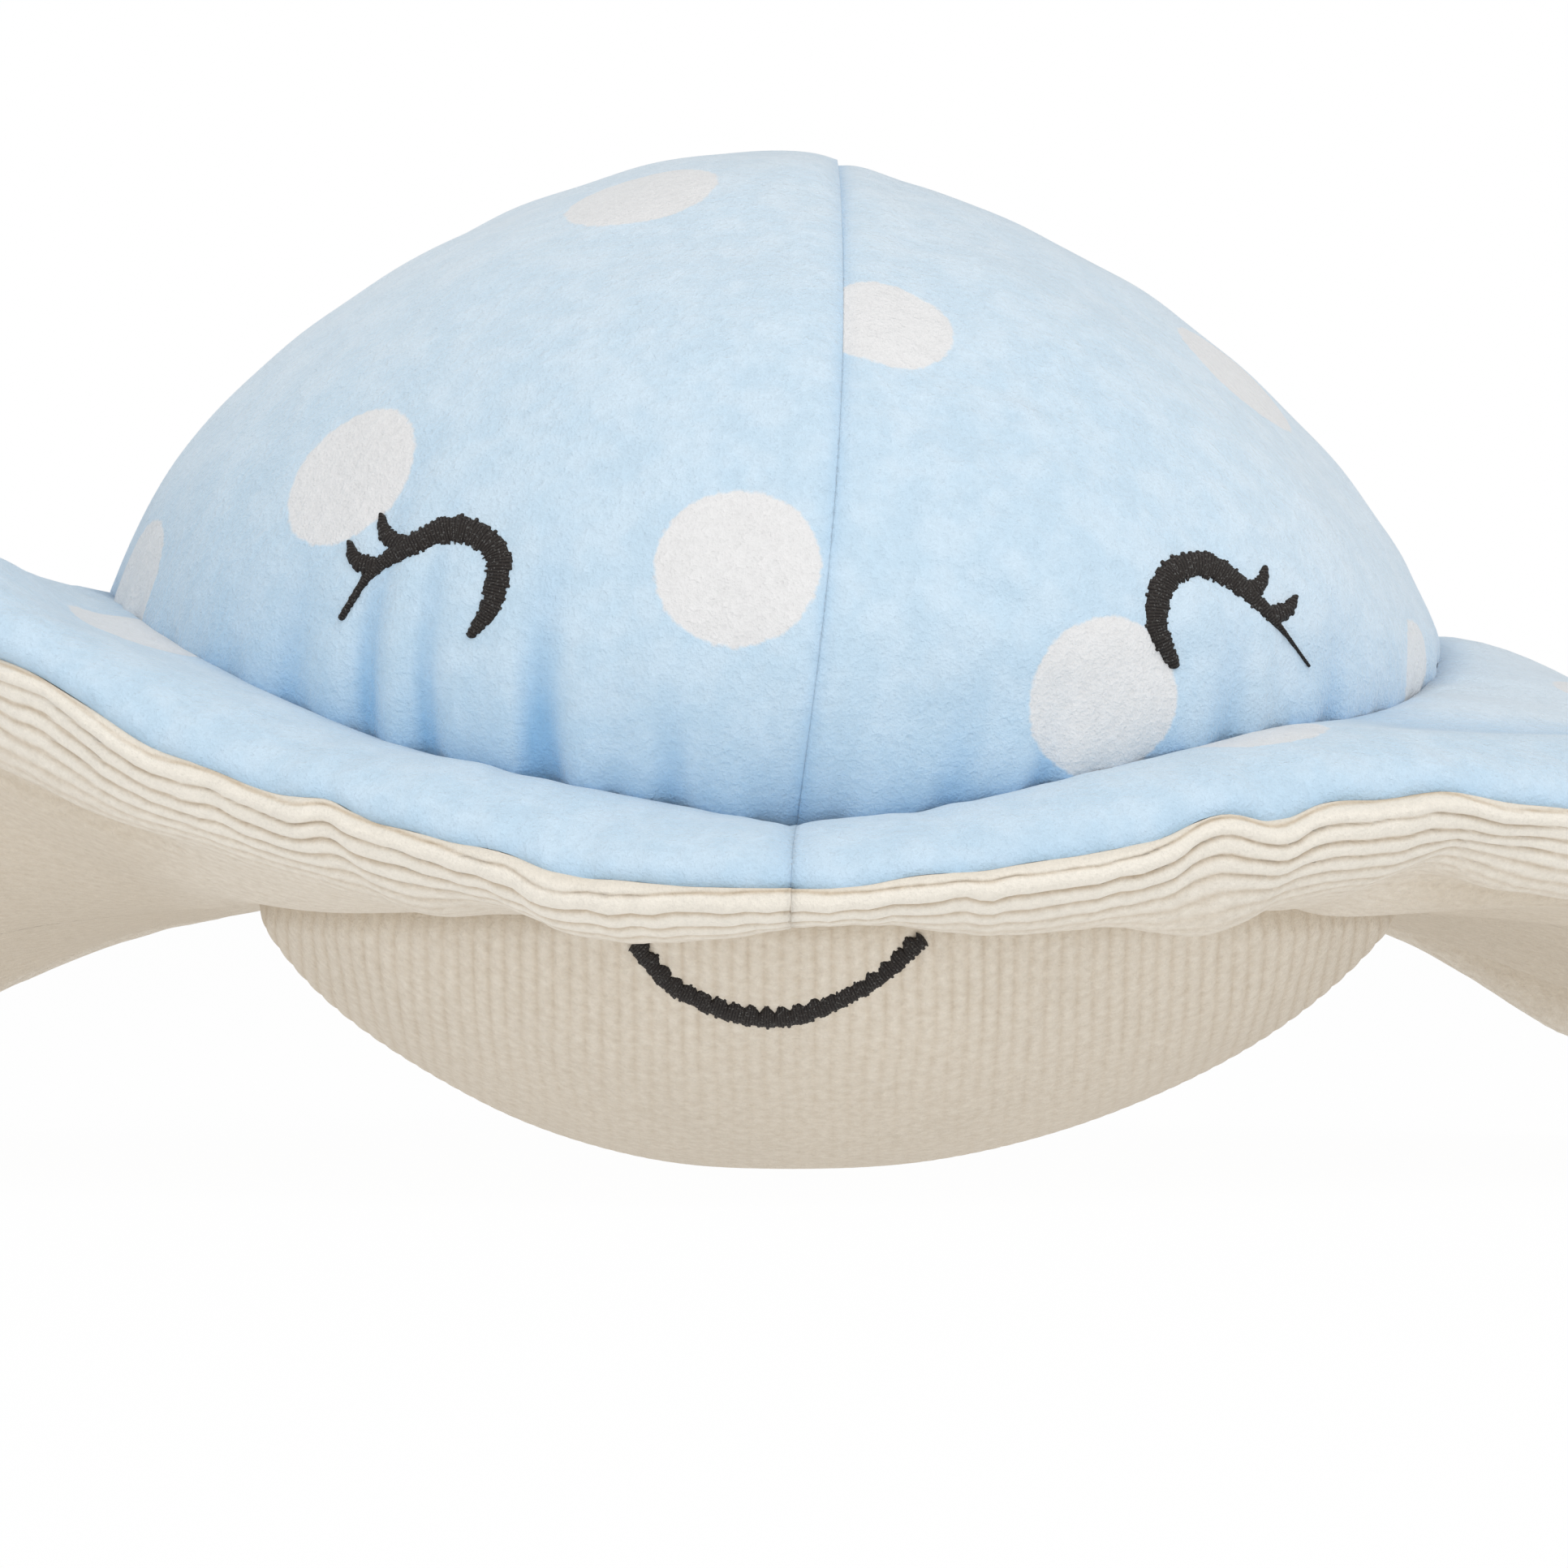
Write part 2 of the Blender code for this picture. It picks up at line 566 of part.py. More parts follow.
def make_tail(collection, helpers, plush, fibre):
    """The tail: a plush tube round its stuffing, sewn to the rear edge of the wings."""
    seat = make_wing_core(
        "tail_seat_cutter",
        QUARTER_TURN - TAIL_SEAT_SPAN,
        2.0 * TAIL_SEAT_SPAN,
        TAIL_SEAT_STEPS,
        -CLEARANCE,
        helpers,
        fibre,
    )
    seat.display_type = "WIRE"
    seat.hide_render = True
    tube = grid_on(tail_surface, (0.0, FULL_TURN), (0.0, 1.0), (TAIL_SIDE_STEPS, TAIL_STEPS))
    bmesh.ops.reverse_faces(tube, faces=tube.faces)
    cut_with(make_skin("tail", tube, 0.0, collection, plush), seat)

    def stuffing(angle, ring):
        along = np.clip(ring / TAIL_STEPS, 0.0, 1.0) * TAIL_STUFFED_SHARE
        spine = tail_surface(0.0 * angle, along)
        spine[:, 0] = 0.0
        surface = tail_surface(angle, along)
        width = np.linalg.norm(surface - spine, axis=1)
        inner = np.clip(width - FABRIC - STUFFING_GAP, 0.0, None)
        inner = np.where((ring == 0) | (ring == TAIL_STEPS), 0.0, inner)
        return spine + (surface - spine) * (inner / width)[:, None]

    bm = sphere_on(stuffing, TAIL_STEPS, TAIL_SIDE_STEPS)
    cut_with(new_object("tail_filling", bm, collection, fibre), seat)


def on_crown_front(across, height):
    """The angle at which the front of the crown reaches a place across, at a height."""
    low = -1.0 + 0.0 * across
    high = 1.0 + 0.0 * across
    for _ in range(SOLVE_STEPS):
        side = 0.5 * (low + high)
        reached = crown_at_height(-np.arccos(side), height)[..., 0]
        low = np.where(reached < across, side, low)
        high = np.where(reached < across, high, side)
    return -np.arccos(0.5 * (low + high))


def crown_front(across, height):
    """The crown's surface behind a point of the front view."""
    return crown_at_height(on_crown_front(across, height), height)


def belly_front(across, height):
    """The belly's surface behind a point of the front view."""
    share = np.clip(1.0 - height / BELLY_DEPTH, 0.0, 1.0)
    turn = np.arccos(share ** (0.5 * BELLY_ROUNDNESS))
    outward = np.sin(turn) ** (2.0 / BELLY_ROUNDNESS)
    half_width = BELLY_FLAT_RADIUS + (BELLY_HALF_WIDTH - BELLY_FLAT_RADIUS) * outward
    half_length = BELLY_FLAT_RADIUS + (BELLY_HALF_LENGTH - BELLY_FLAT_RADIUS) * outward
    side = np.clip((across - BELLY_SHIFT * outward) / half_width, -1.0, 1.0)
    return np.stack([across, -half_length * np.sqrt(1.0 - side**2), height], axis=-1)


def stroke_points(points, widths, along, across):
    """Points of a stitched stroke in the front view, as rows of a place across and a height.

    `along` runs 0 to 1 down a smooth line through the stroke's points, and `across` -1 to 1 over its
    width, which swells from the end widths to the middle width.
    """
    line = np.asarray(points, dtype=float)
    steps = np.linalg.norm(np.diff(line, axis=0), axis=1)
    place = np.concatenate([[0.0], np.cumsum(steps)]) / steps.sum()

    def at(where):
        across_line = np.stack([place, line[:, 0]], axis=1)
        height_line = np.stack([place, line[:, 1]], axis=1)
        return np.stack(
            [smooth_through(across_line, where, False), smooth_through(height_line, where, False)],
            axis=-1,
        )

    slope = at(along + SLOPE_STEP) - at(along - SLOPE_STEP)
    slope = slope / np.linalg.norm(slope, axis=-1, keepdims=True)
    start_width, middle_width, end_width = widths
    end = np.where(along < 0.5, start_width, end_width)
    width = end + (middle_width - end) * np.sin(math.pi * along) ** STROKE_SWELL_POWER
    sideways = np.stack([-slope[:, 1], slope[:, 0]], axis=-1)
    return at(along) + 0.5 * (width * across)[:, None] * sideways


def make_stroke(name, points, widths, front, lift, height, steps, collection, thread):
    """A raised band of stitching, `lift` above the fabric and `height` thick."""

    def raised(along, across):
        flat = stroke_points(points, widths, along, across)
        normal = surface_normal(front, flat[:, 0], flat[:, 1])
        facing = np.where(normal[:, 1:2] > 0.0, -1.0, 1.0)
        return front(flat[:, 0], flat[:, 1]) + lift * facing * normal

    bm = grid_on(raised, (0.0, 1.0), (-1.0, 1.0), (steps, 2))
    bm.normal_update()
    if sum(face.normal.y for face in bm.faces) > 0.0:
        bmesh.ops.reverse_faces(bm, faces=bm.faces)
    stroke = new_object(name, bm, collection, thread)
    stitches = stroke.modifiers.new("stitch_height", "SOLIDIFY")
    stitches.thickness = height
    stitches.offset = 1.0
    return stroke


def make_eye(name, arc, lashes, collection, helpers, thread):
    """A closed eye: one curved stroke with two lashes sewn into it."""
    widths = (EYE_END_WIDTH, EYE_WIDTH, EYE_END_WIDTH)
    eye = make_stroke(
        name, arc, widths, crown_front, CLEARANCE, STITCH_HEIGHT, STROKE_STEPS, collection, thread
    )
    lash_widths = (LASH_WIDTH, LASH_WIDTH, LASH_TIP_WIDTH)
    for index, lash in enumerate(lashes):
        piece = make_stroke(
            f"{name}_lash_{index + 1}_helper",
            lash,
            lash_widths,
            crown_front,
            LASH_LIFT,
            LASH_HEIGHT,
            LASH_STEPS,
            helpers,
            thread,
        )
        piece.display_type = "WIRE"
        piece.hide_render = True
        join = eye.modifiers.new(f"lash_{index + 1}", "BOOLEAN")
        join.operation = "UNION"
        join.object = piece
        join.solver = "EXACT"


def make_face(collection, helpers, thread):
    """The embroidered face: two closed eyes on the crown and a smile on the belly."""
    make_eye("eye_left", EYE_LEFT_ARC, EYE_LEFT_LASHES, collection, helpers, thread)
    make_eye("eye_right", EYE_RIGHT_ARC, EYE_RIGHT_LASHES, collection, helpers, thread)
    widths = (MOUTH_END_WIDTH, MOUTH_WIDTH, MOUTH_END_WIDTH)
    make_stroke(
        "mouth",
        MOUTH_ARC,
        widths,
        belly_front,
        CLEARANCE,
        STITCH_HEIGHT,
        STROKE_STEPS,
        collection,
        thread,
    )


def main():
    """Build the toy."""
    clear_scene()
    parts = make_collection("plush_manta_ray")
    plush = make_material("blue_plush", PLUSH_BLUE, 0.95)
    corduroy = make_material("cream_corduroy", CORDUROY_CREAM, 0.95)
    fibre = make_material("white_fibre", FIBRE_WHITE, 1.0)
    make_half_skins(parts, plush, corduroy)
    make_belly(parts, corduroy)
    make_body_filling(parts, fibre)
    make_wing_fillings(parts, fibre)
    helpers = make_collection("cutters", helper=True)
    make_tail(parts, helpers, plush, fibre)
    make_face(parts, helpers, make_material("black_thread", THREAD_BLACK, 0.6))


main()
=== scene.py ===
"""The looks of the plush manta ray: sewn plush and corduroy skins, embroidery, light and camera.

Sizes are in metres and repeat the CAD's own forms, so each skin lies where its solid does. X runs to
the right as one faces the toy, the face looks along -Y and Z is up. Angles round the body run from +X
towards +Y, so the face is at -90 degrees.
"""

import logging
import math
from collections.abc import Callable, Mapping, Sequence
from dataclasses import dataclass
from enum import Enum
from functools import partial

import bpy
import numpy as np
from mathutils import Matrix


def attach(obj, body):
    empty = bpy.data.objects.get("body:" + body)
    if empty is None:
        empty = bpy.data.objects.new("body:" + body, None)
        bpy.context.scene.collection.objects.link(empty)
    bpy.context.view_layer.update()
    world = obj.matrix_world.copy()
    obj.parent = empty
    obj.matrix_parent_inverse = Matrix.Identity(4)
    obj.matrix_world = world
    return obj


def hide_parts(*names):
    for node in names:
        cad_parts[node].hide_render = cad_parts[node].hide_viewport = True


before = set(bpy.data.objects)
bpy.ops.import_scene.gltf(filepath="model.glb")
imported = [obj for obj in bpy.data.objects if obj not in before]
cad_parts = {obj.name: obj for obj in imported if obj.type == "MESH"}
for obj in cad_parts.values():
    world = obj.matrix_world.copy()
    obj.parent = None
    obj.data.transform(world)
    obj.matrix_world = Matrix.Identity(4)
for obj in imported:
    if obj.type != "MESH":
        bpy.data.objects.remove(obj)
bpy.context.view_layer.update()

Array = np.ndarray
Colour = tuple[float, float, float]
Curve = Callable[[Array], Array]
Surface = Callable[[Array, Array], Array]
Layers = tuple[tuple[float, float, int], ...]

LOG = logging.getLogger("plush_manta_ray")
MM = 0.001
FULL_TURN = 2.0 * math.pi
QUARTER_TURN = 0.5 * math.pi

# One degree round the body as a length, at the edge seam and at the crease
EDGE_DEGREE = 2.1 * MM
CREASE_DEGREE = 1.8 * MM

# The most that a skin dips under its plain form, and the painted distance where no dot is near
DEEPEST_DIP = 2.4 * MM
NO_DOT = 99.0

# Numerical steps: for merging points, for halving and for slopes
WELD_STEP = 1e-7
SOLVE_STEPS = 34
SLOPE_STEP = 1e-4


class Side(Enum):
    """The two halves of the toy, as one faces it."""

    RIGHT = 1.0
    LEFT = -1.0

    @property
    def word(self) -> str:
        """The side's word in piece names."""
        return self.name.lower()


# Helpers for curves, noise and grids


def smooth_through(stations: Sequence[Sequence[float]], at: Array, level_ends: bool = True) -> Array:
    """Values on a smooth curve through (place, value) rows.

    Each stretch is a cubic whose end slopes are the slope between the neighbours on both sides.

    Args:
        stations: Rows of a place and a value, in rising order of place.
        at: The places to look up.
        level_ends: Whether the curve starts and ends level.

    Returns:
        The value at each place.
    """
    rows = np.asarray(stations, dtype=float)
    place, value = rows[:, 0], rows[:, 1]
    slope = np.zeros(len(rows))
    slope[1:-1] = (value[2:] - value[:-2]) / (place[2:] - place[:-2])
    if not level_ends:
        slope[0] = (value[1] - value[0]) / (place[1] - place[0])
        slope[-1] = (value[-1] - value[-2]) / (place[-1] - place[-2])
    at = np.clip(at, place[0], place[-1])
    low = np.clip(np.searchsorted(place, at, side="right") - 1, 0, len(rows) - 2)
    span = place[low + 1] - place[low]
    part = (at - place[low]) / span
    rest = 1.0 - part
    return (
        value[low] * (1.0 + 2.0 * part) * rest**2
        + value[low + 1] * (3.0 - 2.0 * part) * part**2
        + slope[low] * span * part * rest**2
        - slope[low + 1] * span * rest * part**2
    )


def ease(value: Array, start: float, stop: float) -> Array:
    """A smooth step: 0 before start, 1 after stop, 3t^2 - 2t^3 between."""
    part = np.clip((value - start) / (stop - start), 0.0, 1.0)
    return part * part * (3.0 - 2.0 * part)


def bell(value: Array, width: float) -> Array:
    """A bell curve of height 1 at zero: exp(-(value / width)^2)."""
    return np.exp(-((value / width) ** 2))


def decay(value: Array, width: float, power: float = 1.0) -> Array:
    """A fall from 1 at zero to both sides: exp(-|value / width|^power)."""
    return np.exp(-(np.abs(value / width) ** power))


def plateau(value: Array, start: float, full: float, fade: float, stop: float) -> Array:
    """A strip with soft sides: 0 before start, 1 from full to fade and 0 after stop."""
    return ease(value, start, full) * (1.0 - ease(value, fade, stop))


def halved(low: Array, high: Array, too_low: Curve) -> Array:
    """The place between low and high where too_low stops being true, by halving."""
    for _ in range(SOLVE_STEPS):
        middle = 0.5 * (low + high)
        below = too_low(middle)
        low, high = np.where(below, middle, low), np.where(below, high, middle)
    return 0.5 * (low + high)


def fold(value: Array, width: float) -> Array:
    """A fold's section: a valley of depth 1 at zero between two soft ridges."""
    return -bell(value, width) + 0.42 * bell(np.abs(value) - 1.75 * width, 0.9 * width)


def lumps(points: Array, size: float, seed: int) -> Array:
    """Smooth unevenness, about -1 to 1: sines of that wavelength along seeded directions, summed."""
    draw = np.random.default_rng(seed)
    directions = draw.normal(size=(9, 3))
    directions /= np.linalg.norm(directions, axis=1, keepdims=True)
    phases = draw.uniform(0.0, FULL_TURN, 9)
    waves = np.sin(points @ directions.T * (FULL_TURN / size) + phases)
    return waves.sum(axis=-1) / 3.0


def unevenness(points: Array, layers: Layers) -> Array:
    """Lumps of several sizes, summed: rows of a height and a size in millimetres, and a seed."""
    return sum(height * MM * lumps(points, size * MM, seed) for height, size, seed in layers)


def ripple(place: Array, length: float, seed: int) -> Array:
    """Uneven waves along a line, about -1 to 1: sines of five wavelengths near length, summed."""
    draw = np.random.default_rng(seed)
    total = np.zeros_like(place)
    for stretch in (0.62, 0.83, 1.0, 1.37, 1.9):
        total += np.sin(FULL_TURN * place / (length * stretch) + draw.uniform(0.0, FULL_TURN))
    return total / 2.6


def wrapped(degrees: Array, middle: float) -> Array:
    """The signed turn from middle, in degrees, between -180 and 180."""
    return (degrees - middle + 180.0) % 360.0 - 180.0


def grid_normals(points: Array) -> Array:
    """Unit normals of a grid: the cross product of its two central differences.

    Where a border has shrunk to a point, its normals are the mean of the next row's.
    """
    normal = np.cross(np.gradient(points, axis=0), np.gradient(points, axis=1))
    size = np.linalg.norm(normal, axis=-1, keepdims=True)
    normal = normal / np.maximum(size, 1e-30)
    for border, inner in ((normal[0], normal[1]), (normal[-1], normal[-2])):
        if not border.any(axis=-1).all():
            border[:] = inner.mean(axis=0)
    return normal


def grid_triangles(index: Array) -> Array:
    """Two triangles for each cell of a grid of vertex numbers."""
    a, b = index[:-1, :-1].ravel(), index[1:, :-1].ravel()
    c, d = index[1:, 1:].ravel(), index[:-1, 1:].ravel()
    return np.concatenate([np.stack([a, b, c], axis=1), np.stack([a, c, d], axis=1)])


def round_border(index: Array) -> Array:
    """The vertex numbers round a grid's border, once round."""
    return np.concatenate([index[0, :-1], index[:-1, -1], index[-1, :0:-1], index[:0:-1, 0]])


def rim_triangles(fine: Array, coarse: Array, stride: int) -> Array:
    """The wall between a fine border and a coarse one that keeps every stride-th of its points.

    Each coarse stretch fans to the fine points of its first half from its start, and to the rest from
    its end, with one triangle between the fans.
    """
    run = fine.reshape(-1, stride)
    start = coarse
    end = np.roll(coarse, -1)
    points = np.concatenate([run, np.roll(run[:, :1], -1, axis=0)], axis=1)
    half = stride // 2
    parts = [np.stack([points[:, half], end, start], axis=1)]
    for step in range(stride):
        corner = start if step < half else end
        parts.append(np.stack([points[:, step], points[:, step + 1], corner], axis=1))
    return np.concatenate(parts)


@dataclass
class Cloth:
    """One grid of a sewn panel: its outer points, its lining's points and what is painted on it.

    Attributes:
        outer: Rows and columns of points on the outside.
        lining: The same places on the cloth's inner side.
        paint: Values for each outer point, by attribute name.
    """

    outer: Array
    lining: Array
    paint: Mapping[str, Array]


def weld(points: Array, triangles: Array) -> tuple[Array, Array, Array]:
    """Merge points at the same place, and drop flat triangles and pairs that lie back to back.

    Args:
        points: Rows of coordinates.
        triangles: Rows of vertex numbers.

    Returns:
        The kept points, which rows they were, and the triangles in the new numbers.
    """
    keys = np.rint(points / WELD_STEP).astype(np.int64)
    _, first, number = np.unique(keys, axis=0, return_index=True, return_inverse=True)
    triangles = number.reshape(-1)[triangles]
    ordered = np.sort(triangles, axis=1)
    whole = (ordered[:, 0] != ordered[:, 1]) & (ordered[:, 1] != ordered[:, 2])
    triangles, ordered = triangles[whole], ordered[whole]
    _, same, times = np.unique(ordered, axis=0, return_inverse=True, return_counts=True)
    triangles = triangles[times[same.reshape(-1)] == 1]
    return points[first], first, triangles


def sewn_shell(name: str, cloths: Sequence[Cloth], stride: int) -> bpy.types.Object:
    """A closed shell from one or more grids that share borders, with a coarser lining inside.

    Args:
        name: The piece's name.
        cloths: The grids. Borders that two grids share are welded and get no wall.
        stride: How many outer steps the lining takes in one.

    Returns:
        The piece's object, smooth shaded, with its painted values as attributes.
    """
    points, triangles, paints, total = [], [], [], 0
    for cloth in cloths:
        rows, columns = cloth.outer.shape[:2]
        fine = total + np.arange(rows * columns).reshape(rows, columns)
        inner = cloth.lining[::stride, ::stride]
        coarse = fine.size + total + np.arange(inner.shape[0] * inner.shape[1]).reshape(inner.shape[:2])
        points += [cloth.outer.reshape(-1, 3), inner.reshape(-1, 3)]
        triangles += [
            grid_triangles(fine),
            grid_triangles(coarse)[:, ::-1],
            rim_triangles(round_border(fine), round_border(coarse), stride),
        ]
        paints.append(
            {
                key: np.concatenate([value.ravel(), value[::stride, ::stride].ravel()])
                for key, value in cloth.paint.items()
            }
        )
        total += fine.size + coarse.size
    kept, rows_kept, faces = weld(np.concatenate(points), np.concatenate(triangles))
    paint = {key: np.concatenate([each[key] for each in paints])[rows_kept] for key in paints[0]}
    return mesh_object(name, kept, faces, paint)


def mesh_object(name: str, points: Array, faces: Array, paint: Mapping[str, Array]) -> bpy.types.Object:
    """A smooth-shaded object of triangles that point outwards, with point attributes."""
    a, b, c = (points[faces[:, corner]] for corner in range(3))
    if np.einsum("ij,ij->i", a, np.cross(b, c)).sum() < 0.0:
        faces = faces[:, ::-1]
    mesh = bpy.data.meshes.new(name)
    mesh.vertices.add(len(points))
    mesh.vertices.foreach_set("co", points.astype(np.float32).ravel())
    mesh.loops.add(faces.size)
    mesh.loops.foreach_set("vertex_index", np.ascontiguousarray(faces, dtype=np.int32).ravel())
    mesh.polygons.add(len(faces))
    mesh.polygons.foreach_set("loop_start", np.arange(0, faces.size, 3, dtype=np.int32))
    for key, value in paint.items():
        layer = mesh.attributes.new(key, "FLOAT", "POINT")
        layer.data.foreach_set("value", value.astype(np.float32))
    mesh.update(calc_edges=True)
    mesh.shade_smooth()
    return link_object(name, mesh)


def link_object(name: str, data: bpy.types.ID) -> bpy.types.Object:
    """A new object in the scene."""
    made = bpy.data.objects.new(name, data)
    bpy.context.scene.collection.objects.link(made)
    return made


def dress(piece: bpy.types.Object, node: str, material: bpy.types.Material) -> None:
    """Give a piece its material, which carries its slot, and its body, and hide its CAD node."""
    piece.data.materials.append(material)
    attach(piece, "root")
    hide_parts(node)
    LOG.info("%s: %d triangles", piece.name, len(piece.data.polygons))


# Shader maths


class Bench:
    """Makes and links the nodes of one material or world."""

    def __init__(self, owner: bpy.types.Material | bpy.types.World) -> None:
        """Start with an empty node tree."""
        owner.use_nodes = True
        self.tree = owner.node_tree
        self.tree.nodes.clear()

    def node(
        self,
        kind: str,
        settings: Mapping[str, object] | None = None,
        inputs: Mapping[str | int, object] | None = None,
    ) -> bpy.types.Node:
        """Add a node.

        Args:
            kind: The node's type.
            settings: Its properties, set first.
            inputs: Values or links of its sockets, by name or number.

        Returns:
            The node.
        """
        made = self.tree.nodes.new(kind)
        for key, value in (settings or {}).items():
            setattr(made, key, value)
        for key, value in (inputs or {}).items():
            self.feed(made.inputs[key], value)
        return made

    def feed(self, socket: bpy.types.NodeSocket, value: object) -> None:
        """Link a wrapped socket or a real one to an input, or set the input's own value."""
        if isinstance(value, Signal):
            value = value.socket
        if isinstance(value, bpy.types.NodeSocket):
            self.tree.links.new(value, socket)
        elif isinstance(value, tuple) and len(value) == 3 and socket.type == "RGBA":
            socket.default_value = (*value, 1.0)
        else:
            socket.default_value = value

    def signal(self, kind: str, output: str | int = 0, **details: Mapping) -> "Signal":
        """A node's output as a signal."""
        return Signal(self, self.node(kind, **details).outputs[output])

    def math(self, operation: str, *values: object) -> "Signal":
        """A Math node on values or signals."""
        return self.signal(
            "ShaderNodeMath", settings={"operation": operation}, inputs=dict(enumerate(values))
        )

    def step(self, value: "Signal", start: float, stop: float) -> "Signal":
        """A smooth step from 0 at start to 1 at stop."""
        return self.signal(
            "ShaderNodeMapRange",
            settings={"interpolation_type": "SMOOTHSTEP"},
            inputs={"Value": value, "From Min": start, "From Max": stop},
        )

    def mix(self, share: object, first: object, second: object, blend: str = "MIX") -> "Signal":
        """A Mix node on colours: first where share is 0, second where it is 1."""
        return self.signal(
            "ShaderNodeMix",
            2,
            settings={"data_type": "RGBA", "blend_type": blend},
            inputs={0: share, 6: first, 7: second},
        )

    def attribute(self, name: str) -> "Signal":
        """A value painted on the piece's points."""
        return self.signal("ShaderNodeAttribute", "Fac", settings={"attribute_name": name})

    def place(self) -> "Signal":
        """The place in the piece's own coordinates."""
        return self.signal("ShaderNodeTexCoord", "Object")

    def noise(self, place: "Signal", size: float, detail: float = 2.0, rough: float = 0.5) -> "Signal":
        """Noise about size across, 0 to 1."""
        return self.signal(
            "ShaderNodeTexNoise",
            inputs={"Vector": place, "Scale": 1.0 / size, "Detail": detail, "Roughness": rough},
        )


class Signal:
    """A number, vector or colour on its way through the nodes, with the maths of numbers."""

    def __init__(self, bench: Bench, socket: bpy.types.NodeSocket) -> None:
        """Hold a socket and the bench it is on."""
        self.bench = bench
        self.socket = socket

    def __add__(self, other: object) -> "Signal":
        """Sum."""
        return self.bench.math("ADD", self, other)

    def __radd__(self, other: object) -> "Signal":
        """Sum, reflected."""
        return self.bench.math("ADD", other, self)

    def __sub__(self, other: object) -> "Signal":
        """Difference."""
        return self.bench.math("SUBTRACT", self, other)

    def __mul__(self, other: object) -> "Signal":
        """Product."""
        return self.bench.math("MULTIPLY", self, other)


@dataclass(frozen=True)
class Finish:
    """What every finish has: its name and its record slot."""

    name: str
    slot: str

    def principled(
        self, bench: Bench, colour: Signal, roughness: object, height: Signal, inputs: Mapping[str, object]
    ) -> None:
        """Close the material with a Principled shader.

        Args:
            bench: The material's bench.
            colour: The base colour.
            roughness: The roughness.
            height: The bump's height, 0 to 1.
            inputs: The depth of the bump under "Bump", and constant values of other sockets.
        """
        sockets = dict(inputs)
        depth = sockets.pop("Bump")
        bump = bench.signal(
            "ShaderNodeBump", "Normal", inputs={"Height": height, "Strength": 1.0, "Distance": depth}
        )
        shader = bench.node(
            "ShaderNodeBsdfPrincipled",
            inputs={"Base Color": colour, "Roughness": roughness, "Normal": bump, **sockets},
        )
        bench.node("ShaderNodeOutputMaterial", inputs={"Surface": shader.outputs[0]})

    def bench(self) -> tuple[bpy.types.Material, Bench]:
        """A new material and its bench."""
        material = bpy.data.materials.new(self.name)
        material["slot"] = self.slot
        return material, Bench(material)


@dataclass(frozen=True)
class Plush(Finish):
    """Short-pile plush: pale blue with white dots, with painted shade, bluer, where it folds, and painted
    highlight, paler, where light falls.
    """

    blue: Colour = (0.575, 0.735, 0.865)
    # The paler blue, for the nap's random patches and for painted highlight
    pale: Colour = (0.70, 0.81, 0.90)
    # Painted shade: the deeper blue of folds, seams and creases
    deep: Colour = (0.30, 0.53, 0.78)
    dot: Colour = (0.81, 0.805, 0.805)
    tuft_size: float = 1.5 * MM
    pile_size: float = 0.45 * MM
    nap_size: float = 6.5 * MM

    def make(self) -> bpy.types.Material:
        """The material: dots, painted fold shade and painted highlight by attribute, tufts and nap by
        noise.
        """
        material, bench = self.bench()
        place = bench.place()
        tuft = bench.noise(place, self.tuft_size, 3.0, 0.6)
        pile = bench.noise(place, self.pile_size, 2.0, 0.6)
        nap = bench.noise(place, self.nap_size, 3.0, 0.55)
        inside = bench.step(bench.attribute("dot_edge") + (tuft - 0.5) * 1.6, 0.35, -0.35)
        # Paler in the nap's random patches, and painted highlight where the pale attribute is painted
        nap_and_painted_highlight = bench.step(nap, 0.36, 0.66) * 0.4 + bench.attribute("pale")
        ground = bench.mix(nap_and_painted_highlight, self.blue, self.pale)
        # Painted shade: the fold attribute deepens the blue of the ground, and a little of the dots
        painted_fold_shade = bench.attribute("fold")
        ground = bench.mix(painted_fold_shade, ground, self.deep)
        print_white = bench.mix(painted_fold_shade * 0.1, self.dot, self.deep)
        colour = bench.mix(inside, ground, print_white)
        shade = 1.0 + (tuft - 0.5) * 0.17 + (pile - 0.5) * 0.12 + (nap - 0.5) * 0.07
        colour = bench.mix(1.0, colour, shade, "MULTIPLY")
        height = tuft * 0.5 + pile * 0.3 + nap * 0.2
        steady = {
            "Bump": 0.8 * MM,
            "Sheen Weight": 0.8,
            "Sheen Roughness": 0.45,
            "Sheen Tint": (0.93, 0.97, 1.0, 1.0),
            "Specular IOR Level": 0.15,
        }
        self.principled(bench, colour, 0.86 + tuft * 0.14, height, steady)
        return material


